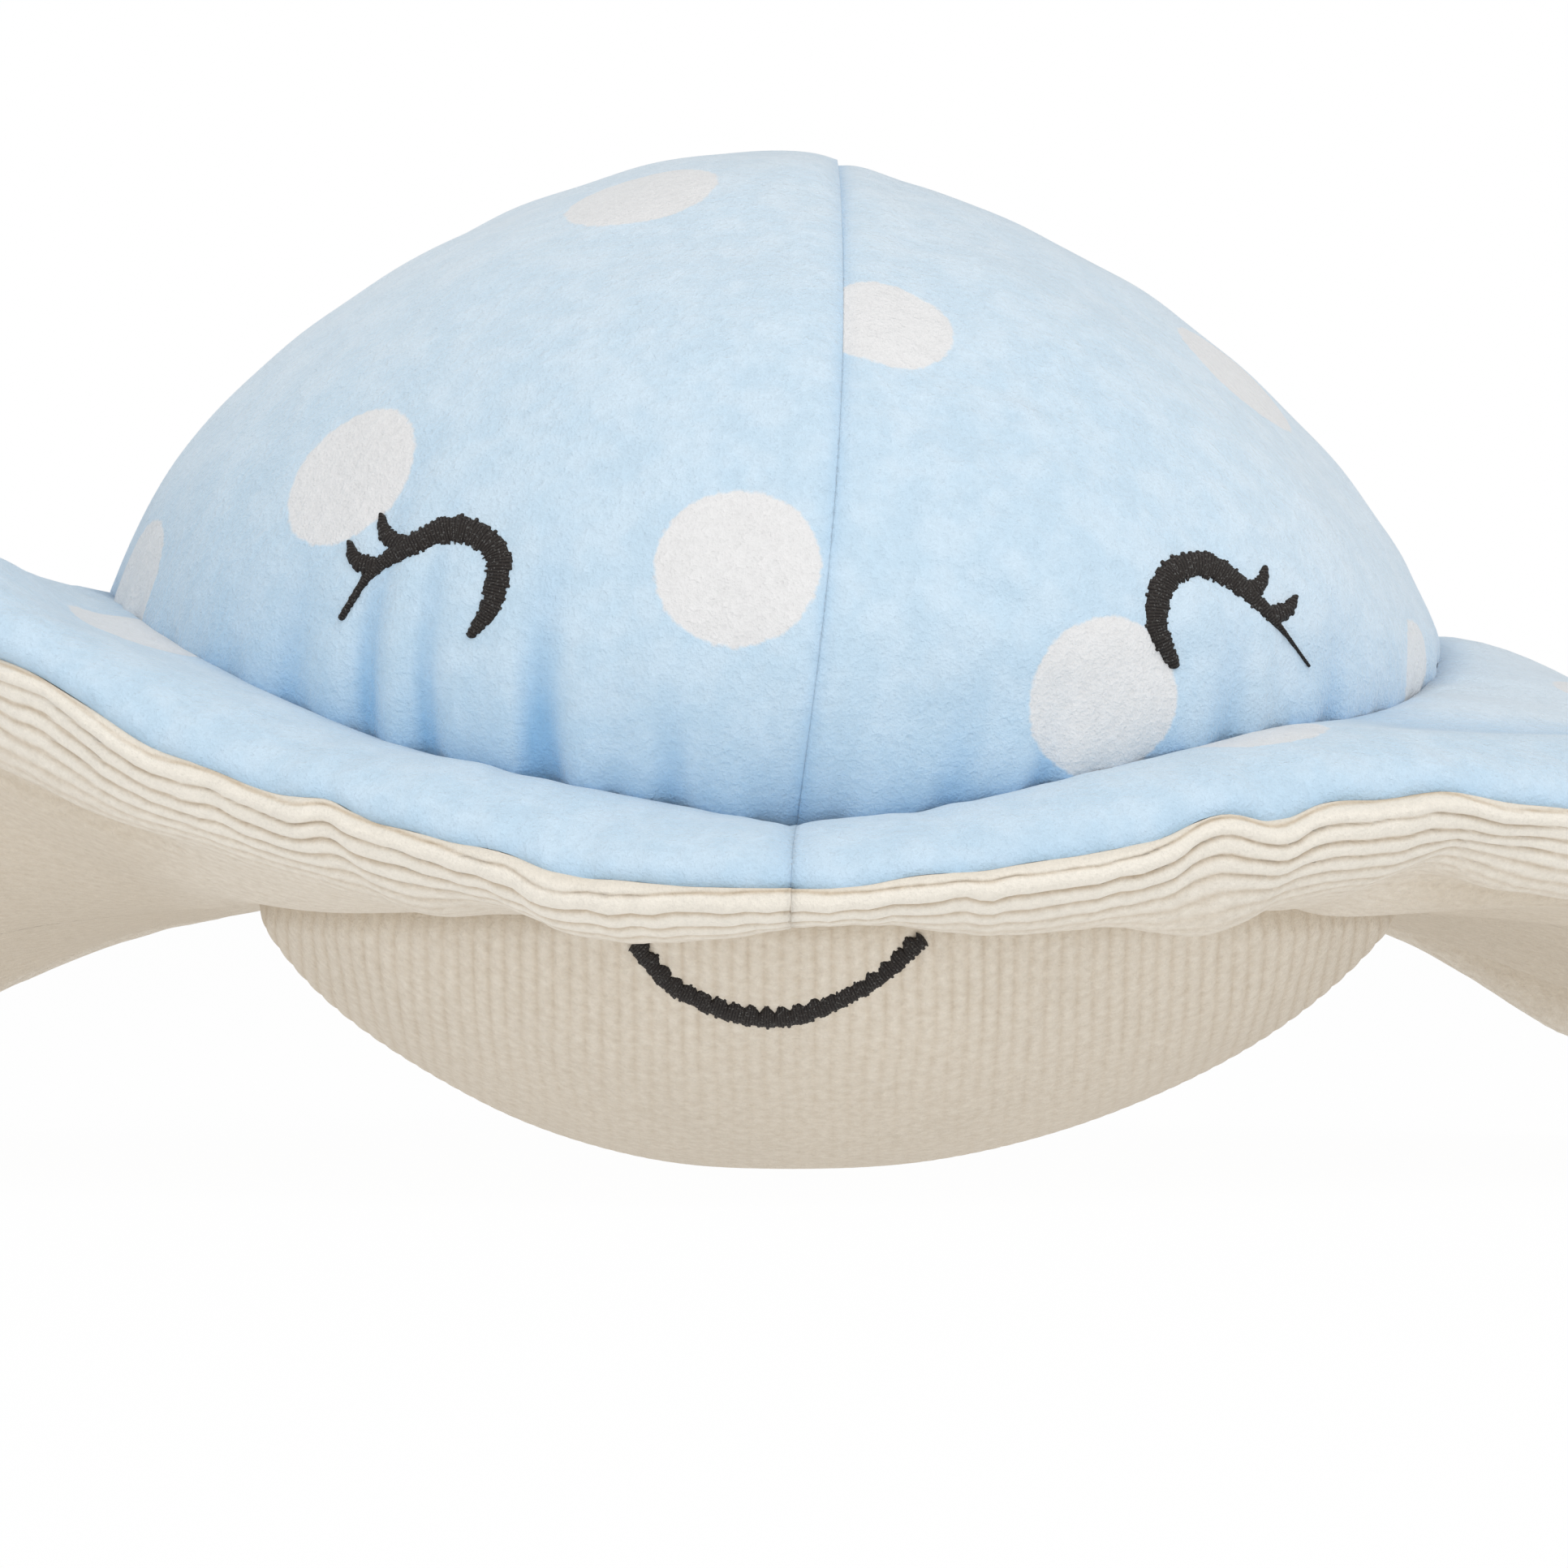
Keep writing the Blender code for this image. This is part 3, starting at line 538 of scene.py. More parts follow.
@dataclass(frozen=True)
class Corduroy(Finish):
    """Wide-rib corduroy plush: warm cream, with painted shade, browner, between the ribs."""

    ridge: Colour = (0.90, 0.85, 0.76)
    # Painted shade: the browner, darker colour in the valleys between the ribs
    valley: Colour = (0.61, 0.50, 0.37)
    # Painted shade at seams, at the belly's rim and on the underside behind the tuck
    deep: Colour = (0.60, 0.50, 0.37)
    fuzz_size: float = 0.5 * MM
    tuft_size: float = 1.4 * MM
    patch_size: float = 26.0 * MM

    def make(self) -> bpy.types.Material:
        """The material: ribs with painted shade between them, and painted fold shade, by attribute; fuzz by
        noise.
        """
        material, bench = self.bench()
        place = bench.place()
        fuzz = bench.noise(place, self.fuzz_size, 3.0, 0.65)
        tuft = bench.noise(place, self.tuft_size, 2.0)
        patch = bench.noise(place, self.patch_size, 1.0)
        # Painted shade: the rib attribute browns and darkens the valleys between the ribs
        rib = bench.attribute("rib") + (tuft - 0.5) * 0.25
        colour = bench.mix(bench.step(rib, 0.0, 0.75), self.valley, self.ridge)
        # Painted shade where the fold attribute is painted
        colour = bench.mix(bench.attribute("fold"), colour, self.deep)
        shade = 1.0 + (fuzz - 0.5) * 0.22 + (tuft - 0.5) * 0.10 + (patch - 0.5) * 0.08
        colour = bench.mix(1.0, colour, shade, "MULTIPLY")
        height = fuzz * 0.6 + tuft * 0.4
        steady = {
            "Bump": 0.5 * MM,
            "Sheen Weight": 0.2,
            "Sheen Roughness": 0.5,
            "Sheen Tint": (1.0, 0.98, 0.94, 1.0),
            "Specular IOR Level": 0.12,
        }
        self.principled(bench, colour, 0.88 + fuzz * 0.12, height, steady)
        return material


@dataclass(frozen=True)
class Thread(Finish):
    """Satin-stitch thread: near black with brown and green tones, a painted highlight on each stitch and
    painted glints.
    """

    dark: Colour = (0.009, 0.007, 0.008)
    # The lit colour of a stitch's crown: a painted highlight
    light: Colour = (0.055, 0.048, 0.042)
    # Painted glints
    glint: Colour = (0.42, 0.43, 0.42)
    strand_size: float = 0.5 * MM
    speck_size: float = 0.32 * MM

    def make(self) -> bpy.types.Material:
        """The material: a painted highlight makes each stitch a little lighter on its crown, and painted
        glints speckle it.
        """
        material, bench = self.bench()
        place = bench.place()
        strand = bench.noise(place, self.strand_size, 3.0, 0.6)
        crown = bench.attribute("stitch")
        # Painted glints: bright specks spread over the thread by noise
        painted_glint_mask = bench.step(bench.noise(place, self.speck_size, 2.0, 0.6), 0.57, 0.68)
        # Painted highlight: each stitch lighter on its crown, mixed with the strands' random tone
        colour = bench.mix(crown * 0.55 + (strand - 0.5) * 0.5, self.dark, self.light)
        colour = bench.mix(painted_glint_mask * 0.22, colour, self.glint)
        steady = {"Bump": 0.2 * MM, "Sheen Weight": 0.0, "Specular IOR Level": 0.12}
        self.principled(bench, colour, 0.5 + strand * 0.2, strand, steady)
        return material


@dataclass(frozen=True)
class Fibre(Finish):
    """Loose white fibre: soft tangles and clumps."""

    light: Colour = (0.88, 0.88, 0.86)
    shade: Colour = (0.74, 0.745, 0.75)
    clump_size: float = 9.0 * MM
    strand_size: float = 1.2 * MM

    def make(self) -> bpy.types.Material:
        """The material: clumps and strands by noise."""
        material, bench = self.bench()
        place = bench.place()
        clump = bench.noise(place, self.clump_size, 2.0)
        strand = bench.noise(place, self.strand_size, 4.0, 0.7)
        colour = bench.mix(bench.step(clump * 0.6 + strand * 0.4, 0.35, 0.65), self.shade, self.light)
        steady = {"Bump": 1.0 * MM, "Sheen Weight": 0.3, "Specular IOR Level": 0.1}
        self.principled(bench, colour, 0.9 + strand * 0.1, clump * 0.5 + strand * 0.5, steady)
        return material


# The forms


@dataclass(frozen=True)
class Dot:
    """A white dot of the print: its middle on a piece, in that piece's two places, and its radius."""

    first: float
    second: float
    radius: float = 11.8 * MM


@dataclass(frozen=True)
class Gather:
    """A fold that rises from the crease.

    Attributes:
        angle: Where it stands round the body, in degrees.
        width: Its half width, in degrees.
        reach: How far it runs from the crease.
        depth: How deep it is.
    """

    angle: float
    width: float
    reach: float
    depth: float


@dataclass(frozen=True)
class Bulge:
    """A soft hill of the stuffing, or a hollow where its rise is below zero.

    Attributes:
        rise: How far it lifts the plush.
        middle: Its place right of the centre seam.
        width: Its half width.
        start: The height at which it starts.
        full: The height from which it is full.
    """

    rise: float
    middle: float
    width: float
    start: float
    full: float

    def lift(self, from_seam: Array, height: Array) -> Array:
        """A bell across the dome that grows with the height."""
        return self.rise * bell(from_seam - self.middle, self.width) * ease(height, self.start, self.full)


# Stations along the wing edge: angle from the wing's side in degrees, height of the edge seam, padding
# above it and below it in millimetres, and how far the crease has climbed to its side height
FRONT_CENTRE = (-90.0, 44.2, 9.4, 5.8, 0.0)
REAR_CENTRE = (90.0, 46.0, 8.5, 7.0, 0.0)
RIGHT_STATIONS = (
    FRONT_CENTRE,
    (-78.0, 46.6, 10.0, 9.5, 0.07),
    (-66.0, 50.6, 11.6, 13.0, 0.23),
    (-55.0, 55.8, 12.0, 18.0, 0.37),
    (-45.0, 56.3, 12.0, 15.5, 0.48),
    (-35.0, 53.3, 13.7, 10.8, 0.52),
    (-22.0, 45.0, 12.5, 10.0, 0.62),
    (-8.0, 25.0, 9.0, 9.0, 0.80),
    (6.0, 6.5, 6.5, 9.0, 0.96),
    (18.0, 5.5, 7.0, 9.0, 1.0),
    (29.0, 16.0, 8.0, 8.0, 0.95),
    (38.0, 39.0, 9.0, 8.0, 0.83),
    (55.0, 46.0, 9.0, 7.5, 0.45),
    REAR_CENTRE,
)
LEFT_STATIONS = (
    FRONT_CENTRE,
    (-78.0, 45.4, 10.8, 8.6, 0.09),
    (-66.0, 51.0, 12.0, 11.8, 0.20),
    (-55.0, 57.0, 13.0, 17.0, 0.33),
    (-45.0, 66.0, 15.0, 20.5, 0.50),
    (-35.0, 79.0, 20.0, 22.0, 0.67),
    (-22.0, 89.0, 20.0, 17.0, 0.86),
    (-8.0, 55.0, 11.0, 11.0, 0.98),
    (6.0, 12.5, 7.0, 9.0, 1.0),
    (18.0, 7.5, 7.0, 9.0, 0.97),
    (29.0, 29.0, 8.0, 8.0, 0.89),
    (39.0, 43.0, 9.0, 8.0, 0.75),
    (55.0, 46.0, 9.0, 7.5, 0.43),
    REAR_CENTRE,
)


def tip_angle(angle: Array) -> Array:
    """The angle from the nearer wing's side, in degrees: -90 at the face, 90 at the tail."""
    return np.degrees(np.arcsin(np.clip(np.sin(angle), -1.0, 1.0)))


def station(angle: Array, column: int) -> Array:
    """One column of the wing stations, for each angle round the body."""
    place = tip_angle(angle)
    right = smooth_through([(row[0], row[column]) for row in RIGHT_STATIONS], place)
    left = smooth_through([(row[0], row[column]) for row in LEFT_STATIONS], place)
    return np.where(np.cos(angle) >= 0.0, right, left)


@dataclass(frozen=True)
class CrownForm:
    """The dome's shape: at each height an oval, fuller and rounder on the left."""

    top: float = 155.5 * MM
    equator: float = 80.0 * MM
    lower_depth: float = 60.0 * MM
    half_width_left: float = 109.5 * MM
    half_width_right: float = 95.0 * MM
    half_length: float = 106.0 * MM
    roundness_left: float = 1.97
    roundness_right: float = 1.43
    seam_lean: float = 7.2 * MM
    seam_foot: float = 0.5 * MM
    seam_foot_height: float = 50.0 * MM
    seam_lean_rise: float = 85.0 * MM
    crease_front: float = 53.6 * MM
    crease_left: float = 88.5 * MM
    crease_right: float = 82.5 * MM
    tuck: float = 2.4 * MM

    def seam_line(self, height: Array) -> Array:
        """How far right of the middle the centre seam lies: its foot, and a sine of the height."""
        rise = np.clip((height - self.seam_foot_height) / self.seam_lean_rise, 0.0, None)
        return self.seam_foot + self.seam_lean * np.sin(QUARTER_TURN * rise)

    def at_height(self, angle: Array, height: Array) -> Array:
        """The outer surface at an angle and a height.

        The oval's size is (1 - above^p)^(1/p) over the equator and sqrt(1 - below^2) under it.
        """
        side = np.cos(angle)
        above = np.clip((height - self.equator) / (self.top - self.equator), 0.0, 1.0)
        below = np.clip((self.equator - height) / self.lower_depth, 0.0, 1.0)
        middle = 0.5 * (self.roundness_left + self.roundness_right)
        power = middle - 0.5 * (self.roundness_left - self.roundness_right) * side
        size = (1.0 - above**power) ** (1.0 / power) * np.sqrt(1.0 - below**2)
        width = 0.5 * (self.half_width_left + self.half_width_right)
        width = width - 0.5 * (self.half_width_left - self.half_width_right) * side
        x = self.seam_line(height) + width * size * side
        return np.stack([x, self.half_length * size * np.sin(angle), height + 0.0 * x], axis=-1)

    def crease_height(self, angle: Array) -> Array:
        """The crease's height: from its front height to its side height by the stations."""
        side = np.where(np.cos(angle) >= 0.0, self.crease_right, self.crease_left)
        return self.crease_front + (side - self.crease_front) * station(angle, 4)

    def height_at(self, angle: Array, rise: Array) -> Array:
        """Heights from the tuck below the crease, at rise 0, to the top, at rise 1, by a turning lift."""
        over_equator = self.crease_height(angle) - self.tuck - self.equator
        depth = np.where(over_equator > 0.0, self.top - self.equator, self.lower_depth)
        foot = np.arcsin(over_equator / depth)
        lift = foot + (QUARTER_TURN - foot) * rise
        reach = np.where(lift > 0.0, self.top - self.equator, self.lower_depth)
        return self.equator + reach * np.sin(lift)

    def front_angle(self, across: Array, height: Array) -> Array:
        """The angle at which the front of the dome reaches a place across, by halving."""

        def short(side: Array) -> Array:
            """Whether the dome at a cosine stays left of the place."""
            return self.at_height(-np.arccos(side), height)[..., 0] < across

        return -np.arccos(halved(-1.0 + 0.0 * across, 1.0 + 0.0 * across, short))


@dataclass(frozen=True)
class BellyForm:
    """The belly's shape: a shallow bowl with a flat spot to rest on."""

    rim_height: float = 40.0 * MM
    depth: float = 50.0 * MM
    half_width: float = 92.0 * MM
    half_length: float = 94.0 * MM
    flat: float = 12.0 * MM
    roundness: float = 1.65
    shift: float = 6.0 * MM

    @property
    def rim(self) -> float:
        """How far outward the rim is, 0 to 1."""
        return (1.0 - (1.0 - self.rim_height / self.depth) ** self.roundness) ** (1.0 / self.roundness)

    def axes(self, outward: Array) -> tuple[Array, Array]:
        """The half width and half length of the oval at a part of the way outward."""
        wide = self.flat + (self.half_width - self.flat) * outward
        return wide, self.flat + (self.half_length - self.flat) * outward

    def rim_oval(self, clearance: float) -> tuple[float, float, float]:
        """The rim's middle, half width and half length, moved out by a clearance."""
        wide, long = self.axes(self.rim)
        return self.shift * self.rim, wide + clearance, long + clearance

    def height(self, x: Array, y: Array) -> Array:
        """The bowl's height over a place: the oval through it, by halving, then the bowl's curve."""

        def outside(outward: Array) -> Array:
            """Whether the place is outside the oval at a part of the way outward."""
            wide, long = self.axes(outward)
            return ((x - self.shift * outward) / wide) ** 2 + (y / long) ** 2 > 1.0

        outward = halved(0.0 * x, 1.0 + 0.0 * x, outside)
        outward = np.where(outward < 1e-6, 0.0, outward)
        return self.depth * (1.0 - (1.0 - outward**self.roundness) ** (1.0 / self.roundness))

    def front(self, across: Array, height: Array) -> Array:
        """The bowl's surface behind a point of the front view."""
        share = np.clip(1.0 - height / self.depth, 0.0, 1.0)
        outward = (1.0 - share**self.roundness) ** (1.0 / self.roundness)
        wide, long = self.axes(outward)
        side = np.clip((across - self.shift * outward) / wide, -1.0, 1.0)
        return np.stack([across, -long * np.sqrt(1.0 - side**2), height], axis=-1)


@dataclass(frozen=True)
class WingForm:
    """The wings' shape: one padded flap round the body, drawn out to a drooping tip on each side.

    Its edge seam and its padding follow the wing stations.
    """

    crown: CrownForm = CrownForm()
    belly: BellyForm = BellyForm()
    radius: float = 120.0 * MM
    reach: float = 85.0 * MM
    sweep: float = 6.0
    leading_power: float = 4.0
    trailing_power: float = 9.0
    droop_power: float = 1.6
    edge_roll: float = 3.5 * MM
    most_blunt: float = 5.0
    seam_gap: float = 0.04 * MM
    clearance: float = 0.3 * MM
    # Notches and bumps of the edge: degrees round the body, half width in degrees, rise in millimetres
    notches: tuple[tuple[float, float, float], ...] = (
        (-140.5, 2.4, 1.5),
        (-121.5, 2.0, 1.2),
        (-56.5, 2.2, -1.2),
        (-45.0, 3.0, 0.9),
    )

    def edge_plan(self, angle: Array) -> Array:
        """The edge seam in plan: radius plus reach times the cosine from the tip, to a power."""
        from_tip = np.radians(tip_angle(angle) - self.sweep)
        power = np.where(from_tip < 0.0, self.leading_power, self.trailing_power)
        radius = self.radius + self.reach * np.clip(np.cos(from_tip), 0.0, 1.0) ** power
        return np.stack([radius * np.cos(angle), radius * np.sin(angle)], axis=-1)

    def root(self, angle: Array, on_top: bool) -> Array:
        """Where a sheet starts: at the crease on top, at the belly's rim below."""
        out = np.stack([np.cos(angle), np.sin(angle), 0.0 * angle], axis=-1)
        if on_top:
            return self.crown.at_height(angle, self.crown.crease_height(angle)) + self.clearance * out
        middle, wide, long = self.belly.rim_oval(self.clearance)
        x = middle + wide * np.cos(angle)
        return np.stack([x, long * np.sin(angle), self.belly.rim_height + 0.0 * x], axis=-1)

    def span(self, angle: Array, on_top: bool) -> Array:
        """How far it is in plan from the root to the edge seam."""
        return np.linalg.norm(self.edge_plan(angle) - self.root(angle, on_top)[..., :2], axis=-1)

    def bluntness(self, angle: Array, on_top: bool) -> Array:
        """How blunt the section is, so that the edge keeps its roll where the wing is long."""
        length = self.span(angle, on_top)
        padding = MM * station(angle, 2 if on_top else 3)
        return np.clip(2.0 * length * self.edge_roll / padding**2, 2.0, self.most_blunt)

    def wave(self, angle: Array) -> Array:
        """How far the edge seam rises and dips with its stitching: uneven waves, and a few notches."""
        degrees = np.degrees(angle)
        size = 0.7 * MM * (0.35 + 0.65 * ease(np.abs(np.cos(angle)), 0.12, 0.5))
        waves = size * ripple(degrees * EDGE_DEGREE, 24.0 * MM, 5)
        for place, width, rise in self.notches:
            waves = waves + rise * MM * bell(wrapped(degrees, place), width)
        return waves

    def sheet(self, angle: Array, across: Array, on_top: bool) -> Array:
        """A sheet's point at an angle, a part of the way from its root to the edge seam.

        The section is a quarter oval of the padding's height over a line that droops to the edge.
        """
        side = 1.0 if on_top else -1.0
        root = self.root(angle, on_top)
        edge = self.edge_plan(angle)
        edge_height = MM * station(angle, 1) + side * 0.5 * self.seam_gap
        padding = MM * station(angle, 2 if on_top else 3)
        swell = np.sqrt(np.clip(1.0 - across ** self.bluntness(angle, on_top), 0.0, 1.0))
        fall = root[..., 2] - edge_height - side * padding
        height = edge_height + side * padding * swell + fall * (1.0 - across**self.droop_power)
        height = height + self.wave(angle) * across**4
        plan = root[..., :2] + (edge - root[..., :2]) * across[..., None]
        return np.concatenate([plan, np.maximum(height, 0.0)[..., None]], axis=-1)

    def across_of(self, angle: Array, part: Array, on_top: bool) -> Array:
        """Parts of the way out that crowd towards the root and the edge."""
        turn = QUARTER_TURN * (0.5 - 0.5 * np.cos(math.pi * part))
        return np.sin(turn) ** (2.0 / self.bluntness(angle, on_top))


# The pieces


@dataclass
class Sewing:
    """What all the sewn skins share."""

    plush: bpy.types.Material
    corduroy: bpy.types.Material
    deepest: float = 2.85 * MM
    seam_gap: float = 0.02 * MM
    stride: int = 8

    def cloth(self, base: Array, normal: Array, lift: Array, paint: Mapping[str, Array]) -> Cloth:
        """A plain form lifted along its normals, with a lining just over the stuffing's own surface."""
        depth = np.maximum(lift, 0.0) - self.deepest
        return Cloth(base + lift[..., None] * normal, base + depth[..., None] * normal, paint)

    def sew(
        self, name: str, node: str, cloths: Sequence[Cloth], material: bpy.types.Material, fill: float
    ) -> None:
        """Close the grids of a piece to a shell, and dress it."""
        dress(sewn_shell(name, cloths, self.stride), node, material)


def dot_distance(points: Array, dots: Sequence[Dot], surface: Surface, side: Side) -> Array:
    """The distance in millimetres from the nearest dot's edge, below zero inside it.

    A dot belongs to the panel that holds its middle, so the seam cuts it.
    """
    nearest = np.full(points.shape[:-1], NO_DOT)
    for dot in dots:
        middle = surface(np.radians(dot.first), np.array(dot.second))
        if (middle[0] > 0.0) == (side is Side.RIGHT):
            distance = np.linalg.norm(points - middle, axis=-1) - dot.radius
            nearest = np.minimum(nearest, distance / MM)
    return nearest


def edge_gathers(degrees: Array, near_edge: Array) -> Array:
    """Short waves along the edge seam, the same above and below it."""
    return 0.5 * MM * ripple(degrees * EDGE_DEGREE, 9.0 * MM, 12) * near_edge


@dataclass
class Crown:
    """The dome of two plush panels, with gathers at the crease and a sunken centre seam."""

    sewing: Sewing
    face: "Face"
    form: CrownForm = CrownForm()
    columns: int = 240
    rows: int = 160
    seam_crowding: float = 0.7
    groove_depth: float = 1.1 * MM
    groove_width: float = 2.4 * MM
    crease_width: float = 3.2 * MM
    crease_rise: float = 0.3 * MM
    ripple_height: float = 0.42 * MM
    pucker_side: float = 22.0 * MM
    pucker_height: float = 106.0 * MM
    slant_height: float = 96.5 * MM
    lump_layers: Layers = ((0.32, 46.0, 21), (0.14, 17.0, 22))
    # The right side is flatter, by one step down beside the seam
    right_drop: float = 1.8 * MM
    ledge: Bulge = Bulge(-0.9 * MM, 0.0, 14.0 * MM, 130.0 * MM, 150.0 * MM)
    crest: Bulge = Bulge(1.25 * MM, -23.0 * MM, 17.0 * MM, 135.0 * MM, 150.0 * MM)
    flank: Bulge = Bulge(-1.1 * MM, -76.0 * MM, 20.0 * MM, 84.0 * MM, 104.0 * MM)
    gathers: tuple[Gather, ...] = (
        Gather(-111.9, 1.9, 17.0 * MM, 1.7 * MM),
        Gather(-122.0, 1.5, 20.0 * MM, 1.1 * MM),
        Gather(-127.1, 1.6, 22.0 * MM, 1.3 * MM),
        Gather(-135.0, 2.0, 14.0 * MM, 0.6 * MM),
        Gather(-101.0, 1.6, 10.0 * MM, 0.5 * MM),
        Gather(-77.0, 2.0, 9.0 * MM, 0.5 * MM),
        Gather(-69.0, 1.6, 12.0 * MM, 0.6 * MM),
        Gather(-52.0, 2.4, 12.0 * MM, 0.6 * MM),
        Gather(-38.0, 2.4, 12.0 * MM, 0.5 * MM),
    )
    # Angle round the body in degrees and height, then the radius where it isn't the usual one
    dots: tuple[Dot, ...] = (
        Dot(-97.3, 89.3 * MM),
        Dot(-134.6, 103.7 * MM),
        Dot(-127.8, 145.6 * MM, 11.6 * MM),
        Dot(-163.0, 88.0 * MM, 11.0 * MM),
        Dot(-64.7, 70.5 * MM, 12.1 * MM),
        Dot(-85.2, 125.8 * MM, 10.3 * MM),
        Dot(-24.0, 121.0 * MM, 11.6 * MM),
        Dot(-19.0, 76.0 * MM, 7.5 * MM),
        Dot(170.0, 124.0 * MM),
        Dot(152.0, 84.0 * MM),
        Dot(128.0, 116.0 * MM),
        Dot(117.0, 70.0 * MM),
        Dot(100.0, 98.0 * MM),
        Dot(112.0, 142.0 * MM),
        Dot(20.0, 106.0 * MM),
        Dot(44.0, 76.0 * MM),
        Dot(52.0, 128.0 * MM),
        Dot(76.0, 104.0 * MM),
        Dot(72.0, 62.0 * MM),
    )

    def lift(self, angle: Array, height: Array) -> tuple[Array, Array]:
        """How far the plush stands off the plain dome, and how much painted fold shade it gets.

        A groove along the centre seam, folds that rise from the crease, puckers by the seam and the
        stuffing's unevenness.

        Args:
            angle: Angles round the body.
            height: Heights.

        Returns:
            The lift, and the weight of the painted fold shade from 0 to 1.
        """
        points = self.form.at_height(angle, height)
        degrees = np.degrees(angle)
        from_seam = points[..., 0] - self.form.seam_line(height)
        over = np.clip(height - self.form.crease_height(angle), 0.0, None)
        groove = decay(from_seam, self.groove_width, 1.4)
        crease = decay(over, self.crease_width)
        folds = np.zeros_like(height)
        for gather in self.gathers:
            section = fold(wrapped(degrees, gather.angle), gather.width)
            folds += gather.depth * decay(over, gather.reach, 1.6) * section
        ripples = self.ripple_height * ripple(degrees * CREASE_DEGREE, 13.0 * MM, 3) * decay(over, 7.0 * MM)
        uneven = unevenness(points, self.lump_layers)
        lift = folds + ripples + uneven * ease(over, 0.0, 8.0 * MM) * (1.0 - groove)
        lift = lift + self.puckers(points, from_seam, height) + self.stuffing(from_seam, height, over)
        lift = lift - self.groove_depth * groove + self.crease_rise * crease
        # Painted shade: the fold weight darkens the seam groove, the crease, the gathers and the dome's
        # lower part by the brim
        depth = 0.32 * decay(from_seam, 1.3 * MM, 1.4) + 0.3 * crease + 0.16 * decay(over, 16.0 * MM)
        depth = depth + np.clip(-folds / (1.4 * MM), 0.0, 1.0)
        return np.maximum(lift, -DEEPEST_DIP), np.clip(depth, 0.0, 1.0)

    def puckers(self, points: Array, from_seam: Array, height: Array) -> Array:
        """Pulled cloth right of the seam: a field of small puckers, and a slanting crease under it."""
        window = bell(height - self.pucker_height, 14.0 * MM)
        window = window * bell(from_seam - self.pucker_side, 16.0 * MM)
        rows = 0.3 * MM * ripple(height + 0.25 * from_seam, 6.0 * MM, 9)
        spots = 0.35 * MM * lumps(points * (1.0, 1.0, 2.0), 8.0 * MM, 23)
        slant = fold(0.5 * from_seam + height - self.slant_height, 2.6 * MM)
        return (rows + spots) * window + 0.8 * MM * slant * bell(from_seam - 24.0 * MM, 9.0 * MM)

    def stuffing(self, from_seam: Array, height: Array, over: Array) -> Array:
        """Where the stuffing fills the plush less or more than the plain dome.

        The right side is flatter, with a step down at the top of the seam. Left of the seam the top
        is fuller, and the far left flank is flatter.
        """
        right = self.right_drop * ease(from_seam, -1.0 * MM, 12.0 * MM) * ease(over, 0.0, 14.0 * MM)
        ledge = np.where(from_seam > 0.0, self.ledge.lift(from_seam, height), 0.0)
        return ledge - right + self.crest.lift(from_seam, height) + self.flank.lift(from_seam, height)

    def front(self, across: Array, height: Array) -> Array:
        """The plush behind a point of the front view: the plain dome, moved back by its own lift."""
        angle = self.form.front_angle(across, height)
        base = self.form.at_height(angle, height)
        turned = self.form.at_height(angle + SLOPE_STEP, height) - base
        raised = self.form.at_height(angle, height + SLOPE_STEP) - base
        normal = np.cross(turned, raised)
        facing = np.abs(normal[..., 1]) / np.linalg.norm(normal, axis=-1)
        base[..., 1] -= self.lift(angle, height)[0] / np.maximum(facing, 0.4)
        return base

    def build(self, side: Side) -> None:
        """Build and dress one panel: columns crowd to the seam, rows to the crease."""
        step = np.linspace(-1.0, 1.0, self.columns + 1)
        turn = QUARTER_TURN * (step + self.seam_crowding * np.sin(math.pi * step) / math.pi)
        turn = turn if side is Side.RIGHT else math.pi + turn
        part = np.linspace(0.0, 1.0, self.rows + 1)
        rise = part - 0.45 * np.sin(math.pi * part) / math.pi
        rise, angle = np.meshgrid(rise, turn, indexing="ij")
        height = self.form.height_at(angle, rise)
        base = self.form.at_height(angle, height)
        base[..., 0] += side.value * 0.5 * self.sewing.seam_gap
        normal = grid_normals(base)
        normal *= np.sign((normal * (base - [0.0, 0.0, self.form.equator])).sum())
        normal[-1] = normal[-2].mean(axis=0)
        lift, depth = self.lift(angle, height)
        lift = lift - self.face.sewn_in(base)
        # Painted highlight: the pale attribute makes the dome paler towards the top and the right side,
        # where the key light and the sheen fall; fold carries the painted shade
        high, sideways = ease(height, 95.0 * MM, 160.0 * MM), ease(base[..., 0], 40.0 * MM, 88.0 * MM)
        paint = {
            "dot_edge": dot_distance(base, self.dots, self.form.at_height, side),
            "fold": depth,
            "pale": np.clip(0.45 * high + 0.6 * sideways, 0.0, 0.7),
        }
        cloth = self.sewing.cloth(base, normal, lift, paint)
        name, node = f"crown_plush_{side.word}", f"crown_{side.word}"
        self.sewing.sew(name, node, [cloth], self.sewing.plush, 0.9)


@dataclass
class UnderPlan:
    """One grid of a wing's underside in plan, with the cloth's own coordinates.

    Attributes:
        y: The y of each row and column.
        place: Where each point lies across the ribs, along the cloth.
        length: How far each point is from the edge seam, along the cloth.
    """

    y: Array
    place: Array
    length: Array


